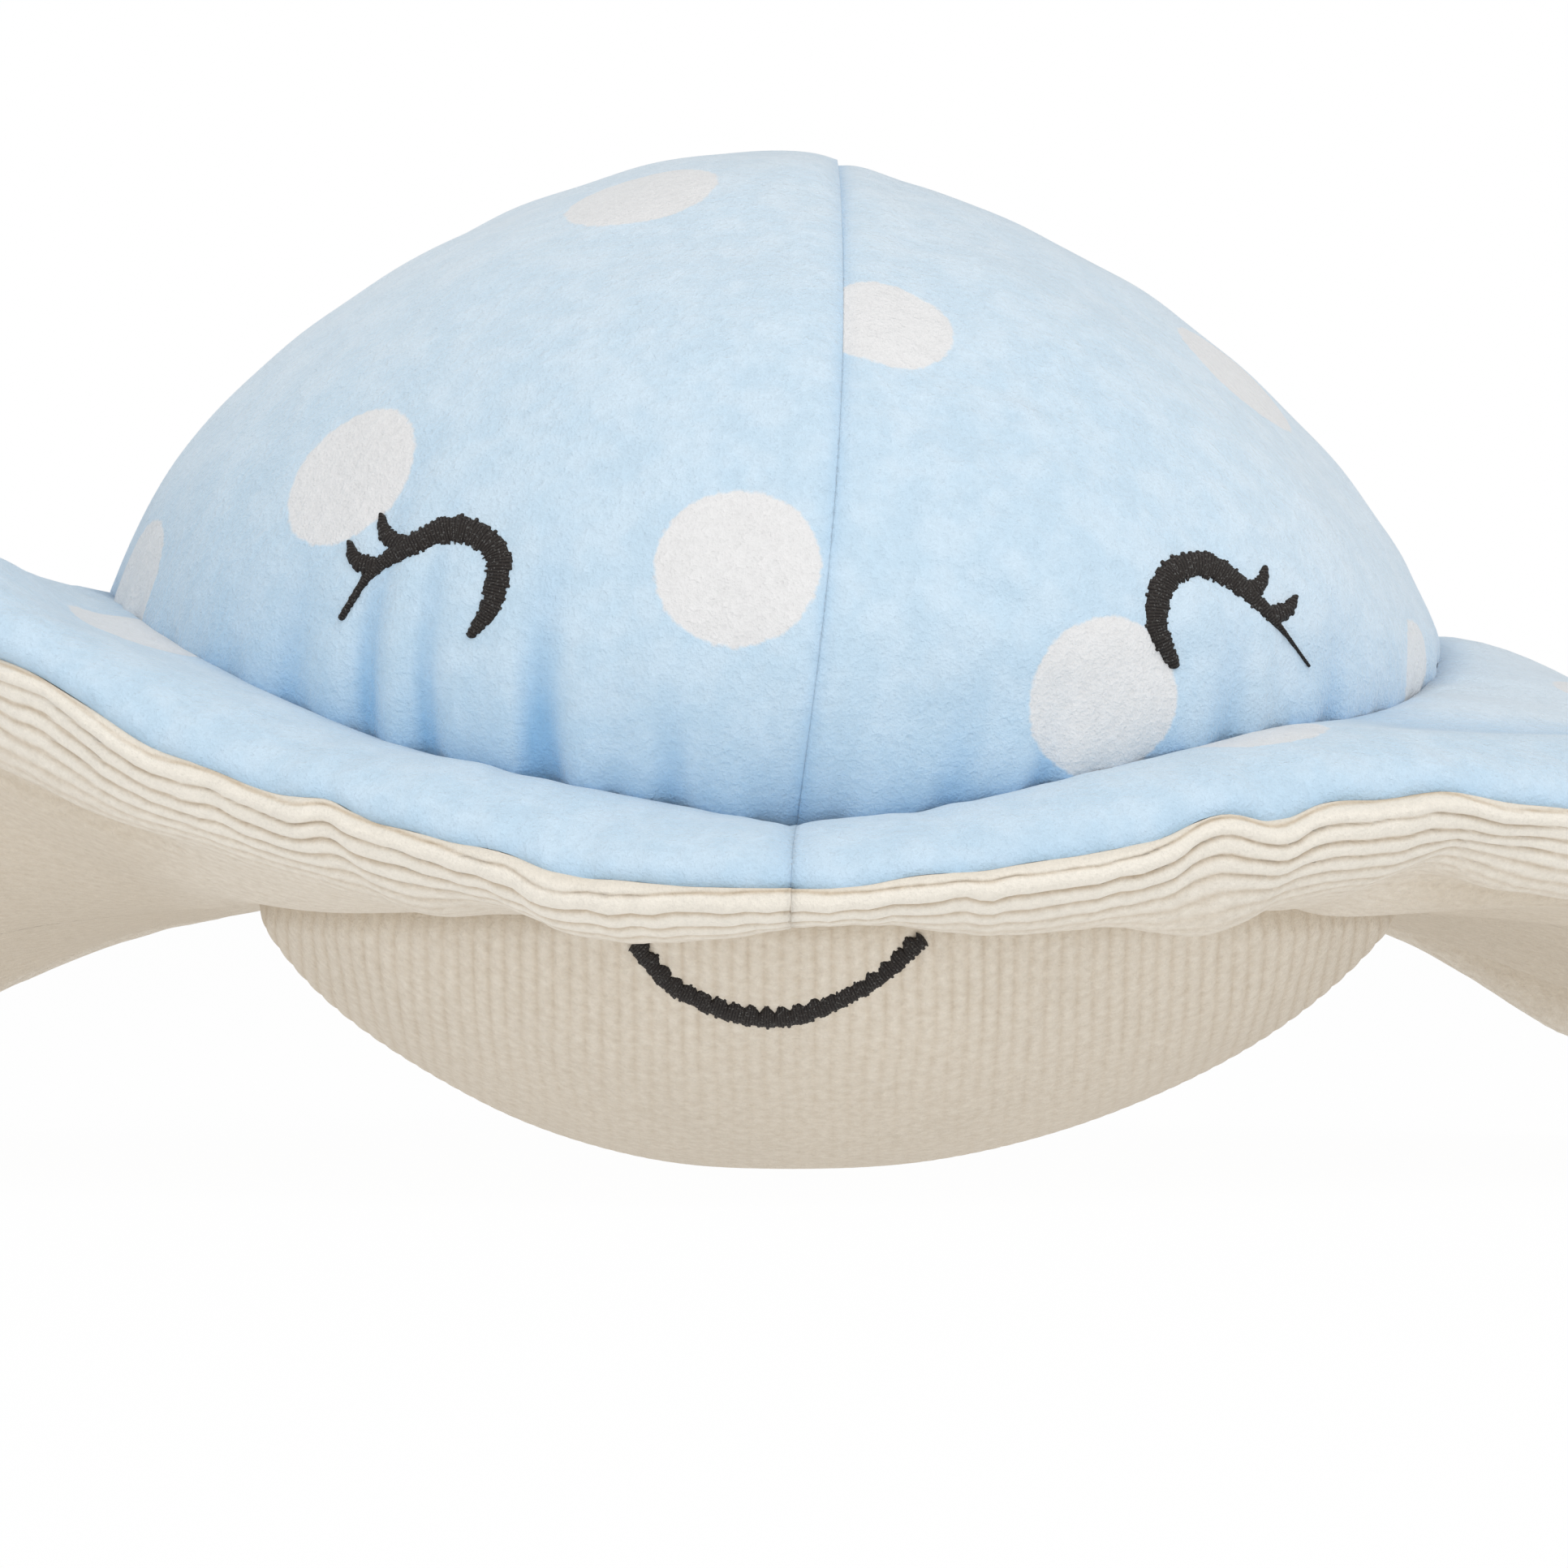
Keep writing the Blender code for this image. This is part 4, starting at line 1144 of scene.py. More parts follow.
@dataclass
class Wings:
    """The padded wings: plush on top, corduroy below, sewn together along a wavy edge."""

    sewing: Sewing
    form: WingForm = WingForm()
    top_columns: int = 320
    top_rows: int = 72
    under_columns: int = 168
    under_rows: int = 240
    samples: int = 480
    rim_draw: float = 4.0
    rim_softness: float = 0.06
    rib_pitch: float = 2.65 * MM
    rib_height: float = 1.25 * MM
    rib_fade: float = 11.5 * MM
    roll_place: float = 1.9 * MM
    hill_height: float = 5.5 * MM
    valley_depth: float = 1.3 * MM
    sag_place: float = 6.0 * MM
    sag_spread: float = 9.0 * MM
    notch_place: float = 47.0
    notch_depth: float = 2.0 * MM
    top_lumps: Layers = ((0.4, 38.0, 31),)
    under_lumps: Layers = ((0.6, 34.0, 43),)
    rib_drift: Layers = ((0.35, 24.0, 41), (0.12, 7.0, 42))
    # Rows of degrees from the face, rising to the right, and how far the underside sags, in millimetres
    sags: tuple[tuple[float, float], ...] = (
        (-46.0, 0.0),
        (-35.0, 0.8),
        (-29.0, 2.4),
        (-23.5, 0.4),
        (-17.5, 2.6),
        (-13.5, 3.4),
        (-7.0, 2.2),
        (0.0, 0.2),
        (6.0, 0.4),
        (12.0, 2.5),
        (23.0, 2.5),
        (30.5, 5.2),
        (37.0, 1.3),
        (46.0, 0.0),
    )
    front_bow: float = 0.37
    front_round: float = 11.0 * MM
    # Angle round the body in degrees and part of the way to the edge, then the radius
    dots: tuple[Dot, ...] = (
        Dot(-152.0, 0.06),
        Dot(-50.0, 0.12, 10.5 * MM),
        Dot(-24.0, 0.86),
        Dot(-8.0, 0.30),
        Dot(2.0, 0.75),
        Dot(22.0, 0.45),
        Dot(48.0, 0.55),
        Dot(78.0, 0.5, 10.0 * MM),
        Dot(186.0, 0.28),
        Dot(176.0, 0.72),
        Dot(160.0, 0.42),
        Dot(204.0, 0.66),
        Dot(130.0, 0.5),
        Dot(103.0, 0.55, 10.0 * MM),
    )

    def top_lift(self, angle: Array, across: Array, base: Array) -> tuple[Array, Array, Array]:
        """The plush's lift, its painted fold shade and its painted highlight.

        It has grooves at the crease and the seams, a hill on the left and a valley on the right.
        """
        from_root = across * self.form.span(angle, True)
        from_edge = np.linalg.norm(base - base[-1:], axis=-1)
        x, y, z = np.moveaxis(base, -1, 0)
        degrees = np.degrees(angle)
        crease = decay(from_root, 3.0 * MM)
        seam = decay(from_edge, 1.7 * MM, 1.3)
        centre = decay(x, 2.2 * MM, 1.4)
        near_edge = decay(from_edge, 9.0 * MM)
        creases = 0.35 * MM * ripple(degrees * CREASE_DEGREE, 12.0 * MM, 3) * decay(from_root, 8.0 * MM)
        uneven = unevenness(base, self.top_lumps)
        hill = self.hill_height * plateau(-x, 101.0 * MM, 119.0 * MM, 126.0 * MM, 156.0 * MM)
        over_line = z - 68.7 * MM + 0.045 * (x - 80.0 * MM)
        window = plateau(x, 76.0 * MM, 90.0 * MM, 130.0 * MM, 160.0 * MM) * ease(-y, 0.0, 20.0 * MM)
        valley = fold(over_line, 1.4 * MM) * window
        # Painted highlight: paler above the valley line on the right wing, where the top turns to the light
        painted_highlight = 0.9 * ease(x, 80.0 * MM, 95.0 * MM) * ease(over_line, -0.5 * MM, 2.0 * MM)
        lift = uneven + edge_gathers(degrees, near_edge) + creases
        lift = lift + hill * bell(y + 45.0 * MM, 40.0 * MM) + self.valley_depth * valley
        lift = lift * (1.0 - seam) * (1.0 - crease) - (0.6 * crease + 0.9 * seam + centre) * MM
        # Painted shade in the crease, the seams, the valley and along the edge
        depth = 0.42 * crease + 0.3 * (seam + centre) + 0.35 * np.clip(-valley, 0.0, 1.0)
        return lift, np.clip(depth + 0.1 * near_edge, 0.0, 1.0), painted_highlight

    def build_top(self, side: Side) -> None:
        """Build and dress a wing's plush top on columns round the body and rows outward."""
        start = -QUARTER_TURN if side is Side.RIGHT else QUARTER_TURN
        turn = start + math.pi * np.linspace(0.0, 1.0, self.top_columns + 1)
        part, angle = np.meshgrid(np.linspace(0.0, 1.0, self.top_rows + 1), turn, indexing="ij")
        across = self.form.across_of(angle, part, True)
        base = self.form.sheet(angle, across, True)
        base[..., 0] += side.value * 0.5 * self.sewing.seam_gap
        normal = grid_normals(base)
        normal *= np.sign(normal[..., 2].sum())
        lift, depth, painted_highlight = self.top_lift(angle, across, base)
        # The fold attribute carries the painted shade, and the pale one the painted highlight
        paint = {
            "dot_edge": dot_distance(base, self.dots, partial(self.form.sheet, on_top=True), side),
            "fold": depth,
            "pale": painted_highlight,
        }
        cloth = self.sewing.cloth(base, normal, lift, paint)
        name, node = f"wing_top_plush_{side.word}", f"wing_top_{side.word}"
        self.sewing.sew(name, node, [cloth], self.sewing.plush, 0.8)

    def spoke(self, turn: Array, side: Side) -> tuple[Array, Array, Array]:
        """The angle at a turn from the wing's own side, and its line's start and way in plan."""
        angle = turn if side is Side.RIGHT else math.pi - turn
        root = self.form.root(angle, False)[..., :2]
        return angle, root, self.form.edge_plan(angle) - root

    def polar(self, x: Array, y: Array, side: Side) -> tuple[Array, Array]:
        """The angle and the part of the way out of places in plan.

        The lines of one angle fan out from the belly's rim to the edge, so halving the turn finds the
        one through each place.
        """
        place = np.stack([x, y], axis=-1)

        def past(turn: Array) -> Array:
            """Whether the place lies past the line at a turn."""
            _, root, line = self.spoke(turn, side)
            offset = place - root
            return side.value * (line[..., 0] * offset[..., 1] - line[..., 1] * offset[..., 0]) > 0.0

        turn = halved(np.full_like(x, -QUARTER_TURN), np.full_like(x, QUARTER_TURN), past)
        angle, root, line = self.spoke(turn, side)
        across = ((place - root) * line).sum(axis=-1) / (line**2).sum(axis=-1)
        return angle, np.clip(across, 0.0, 1.0)

    def edge_lines(self, side: Side) -> tuple[float, float, Curve, Curve]:
        """The tip's two places in plan, and the leading and trailing edges as y over x."""
        turn = np.linspace(-QUARTER_TURN, QUARTER_TURN, 8001)
        angle = turn if side is Side.RIGHT else math.pi - turn
        x, y = self.form.edge_plan(angle).T
        reach = side.value * x
        tip = int(np.argmax(reach))

        def leading(place: Array) -> Array:
            """The leading edge's y."""
            return np.interp(place, reach[: tip + 1], y[: tip + 1])

        def trailing(place: Array) -> Array:
            """The trailing edge's y."""
            return np.interp(place, reach[: tip - 1 : -1], y[: tip - 1 : -1])

        return float(reach[tip]), float(y[tip]), leading, trailing

    def even_rows(
        self, x: Array, start: Array, soft_stop: Array, stop: Array, side: Side
    ) -> tuple[Array, Array]:
        """Places along each column in even steps of the cloth's own length, and those lengths.

        The steps are even up to the soft stop. The last rows are drawn on from there to the stop.

        Args:
            x: Each column's place across, outward.
            start: Where each column starts, on the edge seam.
            soft_stop: A stop that changes gently from column to column.
            stop: Where it stops, at the belly's rim or the mid line.
            side: Which wing.

        Returns:
            The y of each row and column, and the length of cloth from the edge seam.
        """
        part = 1.0 - np.cos(QUARTER_TURN * np.linspace(0.0, 1.0, self.samples + 1))
        far = np.where(np.abs(stop - start) > np.abs(soft_stop - start), stop, soft_stop)
        y = start + (far - start) * part[:, None]
        wide = np.broadcast_to(side.value * x, y.shape)
        angle, across = self.polar(wide, y, side)
        points = self.form.sheet(angle, across, False)
        steps = np.hypot(np.diff(y, axis=0), np.diff(points[..., 2], axis=0))
        length = np.concatenate([np.zeros((1, len(x))), np.cumsum(steps, axis=0)])
        share = np.linspace(0.0, 1.0, self.under_rows + 1)
        rows = np.empty((len(share), len(x)))
        lengths = np.empty_like(rows)
        for column in range(len(x)):
            way = np.abs(y[:, column] - start[column])
            whole = np.interp(abs(soft_stop[column] - start[column]), way, length[:, column])
            even = np.interp(share * whole, length[:, column], y[:, column])
            rows[:, column] = even + (stop - soft_stop)[column] * share**self.rim_draw
            reached = np.abs(rows[:, column] - start[column])
            lengths[:, column] = np.interp(reached, way, length[:, column])
        return rows, lengths

    def under_plan(self, side: Side) -> tuple[Array, int, tuple[UnderPlan, UnderPlan]]:
        """The plan of an underside's two grids.

        The columns run front to back, so that the ribs cross them. The front grid runs from the leading
        edge to the belly's rim, and past the belly to a mid line, and the rear grid from there to the
        trailing edge. The ribs bow with the front seam.

        Args:
            side: Which wing.

        Returns:
            Each column's place across, outward, the number of the column beside the belly, and the
            front and the rear grid.
        """
        tip_x, tip_y, leading, trailing = self.edge_lines(side)
        middle, wide, long = self.form.belly.rim_oval(self.form.clearance)
        middle *= side.value
        inner_count = self.under_columns // 2
        turn = np.linspace(math.asin(-middle / wide), QUARTER_TURN, inner_count + 1)
        outer_turn = np.linspace(0.0, QUARTER_TURN, self.under_columns - inner_count + 1)[1:]
        beside = middle + wide
        outer = beside + (tip_x - beside) * np.sin(outer_turn)
        x = np.concatenate([middle + wide * np.sin(turn), outer])
        rim = np.concatenate([long * np.cos(turn), np.zeros(len(outer_turn))])
        rim[inner_count] = 0.0
        mid = tip_y * np.clip((x - beside) / (tip_x - beside), 0.0, 1.0)
        x[-1] = tip_x
        inside = 1.0 - ((x - middle) / wide) ** 2
        soft = long * np.sqrt(0.5 * (inside + np.hypot(inside, self.rim_softness)))
        front_y, front_length = self.even_rows(x, leading(x), mid - soft, mid - rim, side)
        rear_y, rear_length = self.even_rows(x, trailing(x), mid + soft, mid + rim, side)
        bow = np.hypot(self.front_bow * x, self.front_round) - self.front_round
        front_place = front_length + leading(x) - leading(np.zeros(1)) - bow
        joined = front_place[-1].copy()
        inner = slice(None, inner_count)
        joined[inner] = joined[inner_count] + rim[inner] + bow[inner_count] - bow[inner]
        rear_place = joined + rear_length[-1] - rear_length
        front = UnderPlan(front_y, front_place, front_length)
        return x, inner_count, (front, UnderPlan(rear_y, rear_place, rear_length))

    def build_under(self, side: Side) -> None:
        """Build and dress a wing's corduroy underside from its two grids, which share a mid line."""
        x, inner_count, plans = self.under_plan(side)
        sheets = []
        for plan in plans:
            flat = np.broadcast_to(side.value * x, plan.y.shape)
            angle, across = self.polar(flat, plan.y, side)
            base = self.form.sheet(angle, across, False)
            base[..., 0] = flat + side.value * 0.5 * self.sewing.seam_gap
            base[..., 1] = plan.y
            normal = grid_normals(base)
            normal *= -np.sign(normal[..., 2].sum())
            normal[:, -1] = normal[:, -2].mean(axis=0)
            normal[:, inner_count] = normal[:, inner_count - 1]
            sheets.append((angle, base, normal, across * self.form.span(angle, False)))
        front, rear = sheets[0][2], sheets[1][2]
        shared = slice(inner_count, None)
        mean = front[-1, shared] + rear[-1, shared]
        mean /= np.linalg.norm(mean, axis=-1, keepdims=True)
        tip = front[0, -1] + rear[0, -1]
        tip /= np.linalg.norm(tip)
        cloths = []
        for plan, (angle, base, normal, from_rim) in zip(plans, sheets):
            normal[-1, shared] = mean
            normal[:, -1] = tip
            lift, rib, depth = self.under_lift(angle, base, plan, from_rim)
            lift[:, -1] = lift[0, -1]
            cloths.append(self.sewing.cloth(base, normal, lift, {"rib": rib, "fold": depth}))
        name, node = f"wing_under_corduroy_{side.word}", f"wing_under_{side.word}"
        self.sewing.sew(name, node, cloths, self.sewing.corduroy, 0.8)

    def under_lift(
        self, angle: Array, base: Array, plan: UnderPlan, from_rim: Array
    ) -> tuple[Array, Array, Array]:
        """The lift, the rib paint from 0 to 1 with painted shade and highlight, and the painted fold shade
        of the corduroy.

        Ribs are arches |cos|^0.6 across the cloth's own coordinate, crushed away from the edge seam.
        A thicker roll runs along the seam. The cloth dips at the belly's rim, sags between the two, has
        a notch on the right, and is tucked in beside the belly.
        """
        degrees = np.degrees(angle)
        around = wrapped(degrees, -90.0)
        outward = np.abs(base[..., 0])
        length = plan.length
        phase = (plan.place + unevenness(base, self.rib_drift) - self.roll_place) / self.rib_pitch
        rib = np.abs(np.cos(math.pi * phase)) ** 0.6
        seam = decay(length, 0.9 * MM, 1.5)
        roll = bell(length - self.roll_place, 1.3 * MM)
        rim = decay(from_rim, 2.5 * MM)
        fade = self.rib_fade * (0.65 + 0.35 * ease(outward, 15.0 * MM, 85.0 * MM))
        full = 0.05 + 0.95 * bell(length, fade)
        height = self.rib_height * (0.85 + 0.15 * lumps(base, 15.0 * MM, 44)) * full
        uneven = unevenness(base, self.under_lumps) + edge_gathers(degrees, decay(length, 10.0 * MM))
        lift = (height * (rib - 0.5) + uneven) * (1.0 - seam) + (0.4 * roll - 0.4 * seam - rim) * MM
        lowest = self.sag_place + 0.8 * MM * station(angle, 3)
        sag = MM * smooth_through(self.sags, around) * bell(length - lowest, self.sag_spread)
        notch = self.notch_depth * fold(around - self.notch_place, 2.4)
        notch = notch * ease(length, 4.0 * MM, 14.0 * MM) * bell(length, 40.0 * MM)
        beside = ease(outward, 82.0 * MM, 98.0 * MM)
        tuck = 1.6 * bell(length - 15.0 * MM, 6.0 * MM) - 2.1 * bell(length - 25.0 * MM, 3.6 * MM)
        lift = np.maximum(lift + sag * (1.0 - rim) + notch + tuck * MM * beside, -DEEPEST_DIP)
        # Rib paint: painted shade in the valleys between the ribs, darker painted shade where the ribs have
        # faded, and a painted highlight on the roll by the seam
        paint = 0.42 * (1.0 - full) + rib**1.5 * full + 0.3 * roll
        # Painted shade at the seam, by the belly's rim and on the underside behind the tuck beside the
        # belly
        shade = 0.35 * beside * ease(length, 20.0 * MM, 26.0 * MM)
        return lift, paint, np.clip(0.35 * seam + 0.45 * rim + shade, 0.0, 1.0)


@dataclass
class Belly:
    """The belly panel, with faint ribs from front to back that wear off towards the bottom."""

    sewing: Sewing
    face: "Face"
    form: BellyForm = BellyForm()
    columns: int = 608
    rows: int = 96
    rib_pitch: float = 2.39 * MM
    rib_height: float = 0.28 * MM
    side_squeeze: float = 0.0306
    rib_drift: Layers = ((0.25, 30.0, 51),)
    lump_layers: Layers = ((0.4, 40.0, 52),)

    def lift(self, points: Array) -> tuple[Array, Array]:
        """The lift, and the rib paint with painted shade between the ribs: arches across x, closer together
        at the sides.
        """
        x = points[..., 0]
        place = x * (1.0 + self.side_squeeze * (x / (90.0 * MM)) ** 2)
        phase = (place + unevenness(points, self.rib_drift)) / self.rib_pitch
        rib = np.abs(np.cos(math.pi * phase)) ** 0.7
        worn = 0.22 + 0.78 * ease(points[..., 2], 4.0 * MM, 30.0 * MM)
        uneven = unevenness(points, self.lump_layers) * ease(points[..., 2], 0.5 * MM, 12.0 * MM)
        flat = ease(points[..., 2], 0.0, 2.0 * MM)
        lift = self.rib_height * worn * (rib - 1.0) * (0.3 + 0.7 * flat) + uneven
        # Rib paint: painted shade in the valleys between the ribs, fainter where the ribs wear off
        return lift, 0.42 + worn * (rib - 0.8) * 0.17

    def build(self) -> None:
        """Build and dress the bowl on columns of one x, with rows that crowd to the rim."""
        middle, wide, long = self.form.rim_oval(0.0)
        across, part = np.meshgrid(
            np.linspace(-1.0, 1.0, self.columns + 1), np.linspace(-1.0, 1.0, self.rows + 1)
        )
        side = np.sin(QUARTER_TURN * across)
        x = middle + wide * side
        y = long * np.cos(QUARTER_TURN * across) * np.sin(QUARTER_TURN * part)
        y[:, [0, -1]] = 0.0
        base = np.stack([x, y, self.form.height(x, y)], axis=-1)
        normal = grid_normals(base)
        normal *= -np.sign(normal[..., 2].sum())
        normal[:, 0] = normal[:, 1].mean(axis=0)
        normal[:, -1] = normal[:, -2].mean(axis=0)
        lift, rib = self.lift(base)
        lift = lift - self.face.sewn_in(base)
        rim = ease(base[..., 2], 36.0 * MM, 40.0 * MM)
        lift = np.where(base[..., 2] < 0.5 * MM, np.minimum(lift, 0.0), lift) - 1.0 * MM * rim
        lift[:, 0] = lift[0, 0]
        lift[:, -1] = lift[0, -1]
        # Painted shade by the rim, through the fold attribute
        cloth = self.sewing.cloth(base, normal, lift, {"rib": rib, "fold": 0.6 * rim})
        cloth.outer[..., 2] = np.maximum(cloth.outer[..., 2], 0.0)
        self.sewing.sew("belly_corduroy", "belly", [cloth], self.sewing.corduroy, 0.9)


@dataclass
class Tail:
    """The tail: a tapered plush tube from the rear edge down to the ground."""

    sewing: Sewing
    wings: WingForm = WingForm()
    root_inset: float = 12.0 * MM
    length: float = 105.0 * MM
    root_radius: float = 8.6 * MM
    tip_radius: float = 3.6 * MM
    tip_height: float = 4.2 * MM
    bluntness: int = 8
    covered: float = 6.0 * MM
    columns: int = 64
    rows: int = 160

    def surface(self, turn: Array, along: Array) -> tuple[Array, Array]:
        """Points and outward directions: rings round a spine that sinks on a cosine."""
        root_height = REAR_CENTRE[1] * MM
        start = self.wings.radius - self.root_inset
        sink = 0.5 - 0.5 * np.cos(math.pi * along)
        radius = self.root_radius + (self.tip_radius - self.root_radius) * along
        radius = radius * np.sqrt(np.clip(1.0 - along**self.bluntness, 0.0, 1.0))
        outward = np.stack([np.cos(turn), 0.0 * turn, np.sin(turn)], axis=-1)
        y = start + (self.root_inset + self.length) * along
        z = root_height + (self.tip_height - root_height) * sink
        spine = np.stack([0.0 * y, y, z], axis=-1)
        return spine + radius[..., None] * outward, outward

    def build(self) -> None:
        """Build and dress the tube from where it leaves the wings' edge."""
        run = self.root_inset + self.length
        first = (self.root_inset - self.covered) / run
        along = first + (1.0 - first) * np.linspace(0.0, 1.0, self.rows + 1)
        around = FULL_TURN * np.linspace(0.0, 1.0, self.columns + 1)
        along, turn = np.meshgrid(along, around, indexing="ij")
        base, outward = self.surface(turn, along)
        ring = np.stack([np.cos(turn), np.sin(turn), 12.0 * along], axis=-1)
        end = np.sqrt(np.clip(1.0 - ((along - 0.9) / 0.1).clip(0.0, 1.0) ** 2, 0.0, 1.0))
        seam = bell(wrapped(np.degrees(turn), -90.0), 14.0)
        pinch = decay((along - first) * run, 4.0 * MM)
        lift = (0.3 * MM + 0.3 * MM * lumps(ring, 2.2, 61) - 0.9 * MM * seam) * end - 1.5 * MM * pinch
        lift[:, -1] = lift[:, 0]
        lift[-1] = 0.0
        outer = base + lift[..., None] * outward
        outer[:, -1] = outer[:, 0]
        outer[..., 2] = np.maximum(outer[..., 2], 0.1 * MM)
        radius = np.linalg.norm(base - base.mean(axis=1, keepdims=True), axis=-1)
        spine = base - radius[..., None] * outward
        inner = spine + 0.7 * (outer - spine)
        inner[-1] = spine[-1] - np.array([0.0, 1.5 * MM, 0.0])
        inner[:, -1] = inner[:, 0]
        # Painted shade along the seam and where the root is pinched, through the fold attribute
        paint = {
            "dot_edge": np.full(along.shape, NO_DOT),
            "fold": np.clip(0.5 * seam + 0.6 * pinch, 0.0, 1.0),
            "pale": np.zeros(along.shape),
        }
        self.sewing.sew("tail_plush", "tail", [Cloth(outer, inner, paint)], self.sewing.plush, 0.8)


@dataclass(frozen=True)
class Stroke:
    """A line of satin stitch through points of the front view, in millimetres.

    Attributes:
        points: Rows of a place across and a height.
        widths: Rows of a part of the way along and the width there, in millimetres.
        teeth: How deep the upper edge is notched at each rib, as a part of the half width.
    """

    points: tuple[tuple[float, float], ...]
    widths: tuple[tuple[float, float], ...]
    teeth: float = 0.0

    def line(self, along: Array) -> tuple[Array, Array]:
        """The stroke's middle line, and its unit directions, in metres."""
        rows = MM * np.asarray(self.points)
        steps = np.linalg.norm(np.diff(rows, axis=0), axis=1)
        place = np.concatenate([[0.0], np.cumsum(steps)]) / steps.sum()

        def at(where: Array) -> Array:
            """The smooth line through the points."""
            curves = (np.stack([place, value], axis=1) for value in rows.T)
            return np.stack([smooth_through(curve, where, False) for curve in curves], axis=-1)

        slope = at(along + SLOPE_STEP) - at(along - SLOPE_STEP)
        return at(along), slope / np.linalg.norm(slope, axis=-1, keepdims=True)

    @property
    def length(self) -> float:
        """The stroke's length."""
        line, _ = self.line(np.linspace(0.0, 1.0, 101))
        return float(np.linalg.norm(np.diff(line, axis=0), axis=1).sum())

    def width(self, along: Array) -> Array:
        """The width along the stroke."""
        return MM * smooth_through(self.widths, along, False)


LEFT_WIDTHS = ((0.0, 0.8), (0.15, 1.4), (0.3, 2.6), (0.5, 4.1), (0.65, 4.0), (0.85, 3.2), (1.0, 1.2))
RIGHT_WIDTHS = (
    (0.0, 1.4), (0.12, 3.0), (0.3, 3.9), (0.5, 3.8), (0.68, 2.5), (0.78, 1.5), (0.84, 0.6), (1.0, 0.35)
)
LASH_WIDTHS = ((0.0, 3.3), (0.5, 2.5), (1.0, 0.6))
SMILE_WIDTHS = ((0.0, 2.5), (0.5, 2.9), (1.0, 2.5))
LEFT_EYE = (
    Stroke(
        (
            (-64.6, 82.0), (-59.8, 89.0), (-54.5, 92.6), (-47.2, 94.9), (-41.8, 91.4),
            (-42.2, 84.6), (-45.6, 79.2),
        ),
        LEFT_WIDTHS,
    ),
    Stroke(((-54.9, 92.2), (-57.9, 94.4), (-58.8, 97.6)), LASH_WIDTHS),
    Stroke(((-58.9, 89.6), (-62.3, 90.7), (-63.5, 93.7)), LASH_WIDTHS),
)
RIGHT_EYE = (
    Stroke(
        ((54.8, 74.9), (51.9, 81.6), (54.0, 88.6), (60.4, 89.8), (68.4, 83.3), (75.0, 75.4)),
        RIGHT_WIDTHS,
    ),
    Stroke(((65.2, 86.0), (67.6, 87.6), (68.3, 90.2)), LASH_WIDTHS),
    Stroke(((68.6, 82.9), (71.5, 83.7), (73.1, 86.0)), LASH_WIDTHS),
)
SMILE = (
    Stroke(
        ((-22.6, 35.7), (-15.6, 28.6), (-2.5, 24.7), (10.8, 29.6), (18.9, 36.6)),
        SMILE_WIDTHS,
        0.6,
    ),
)


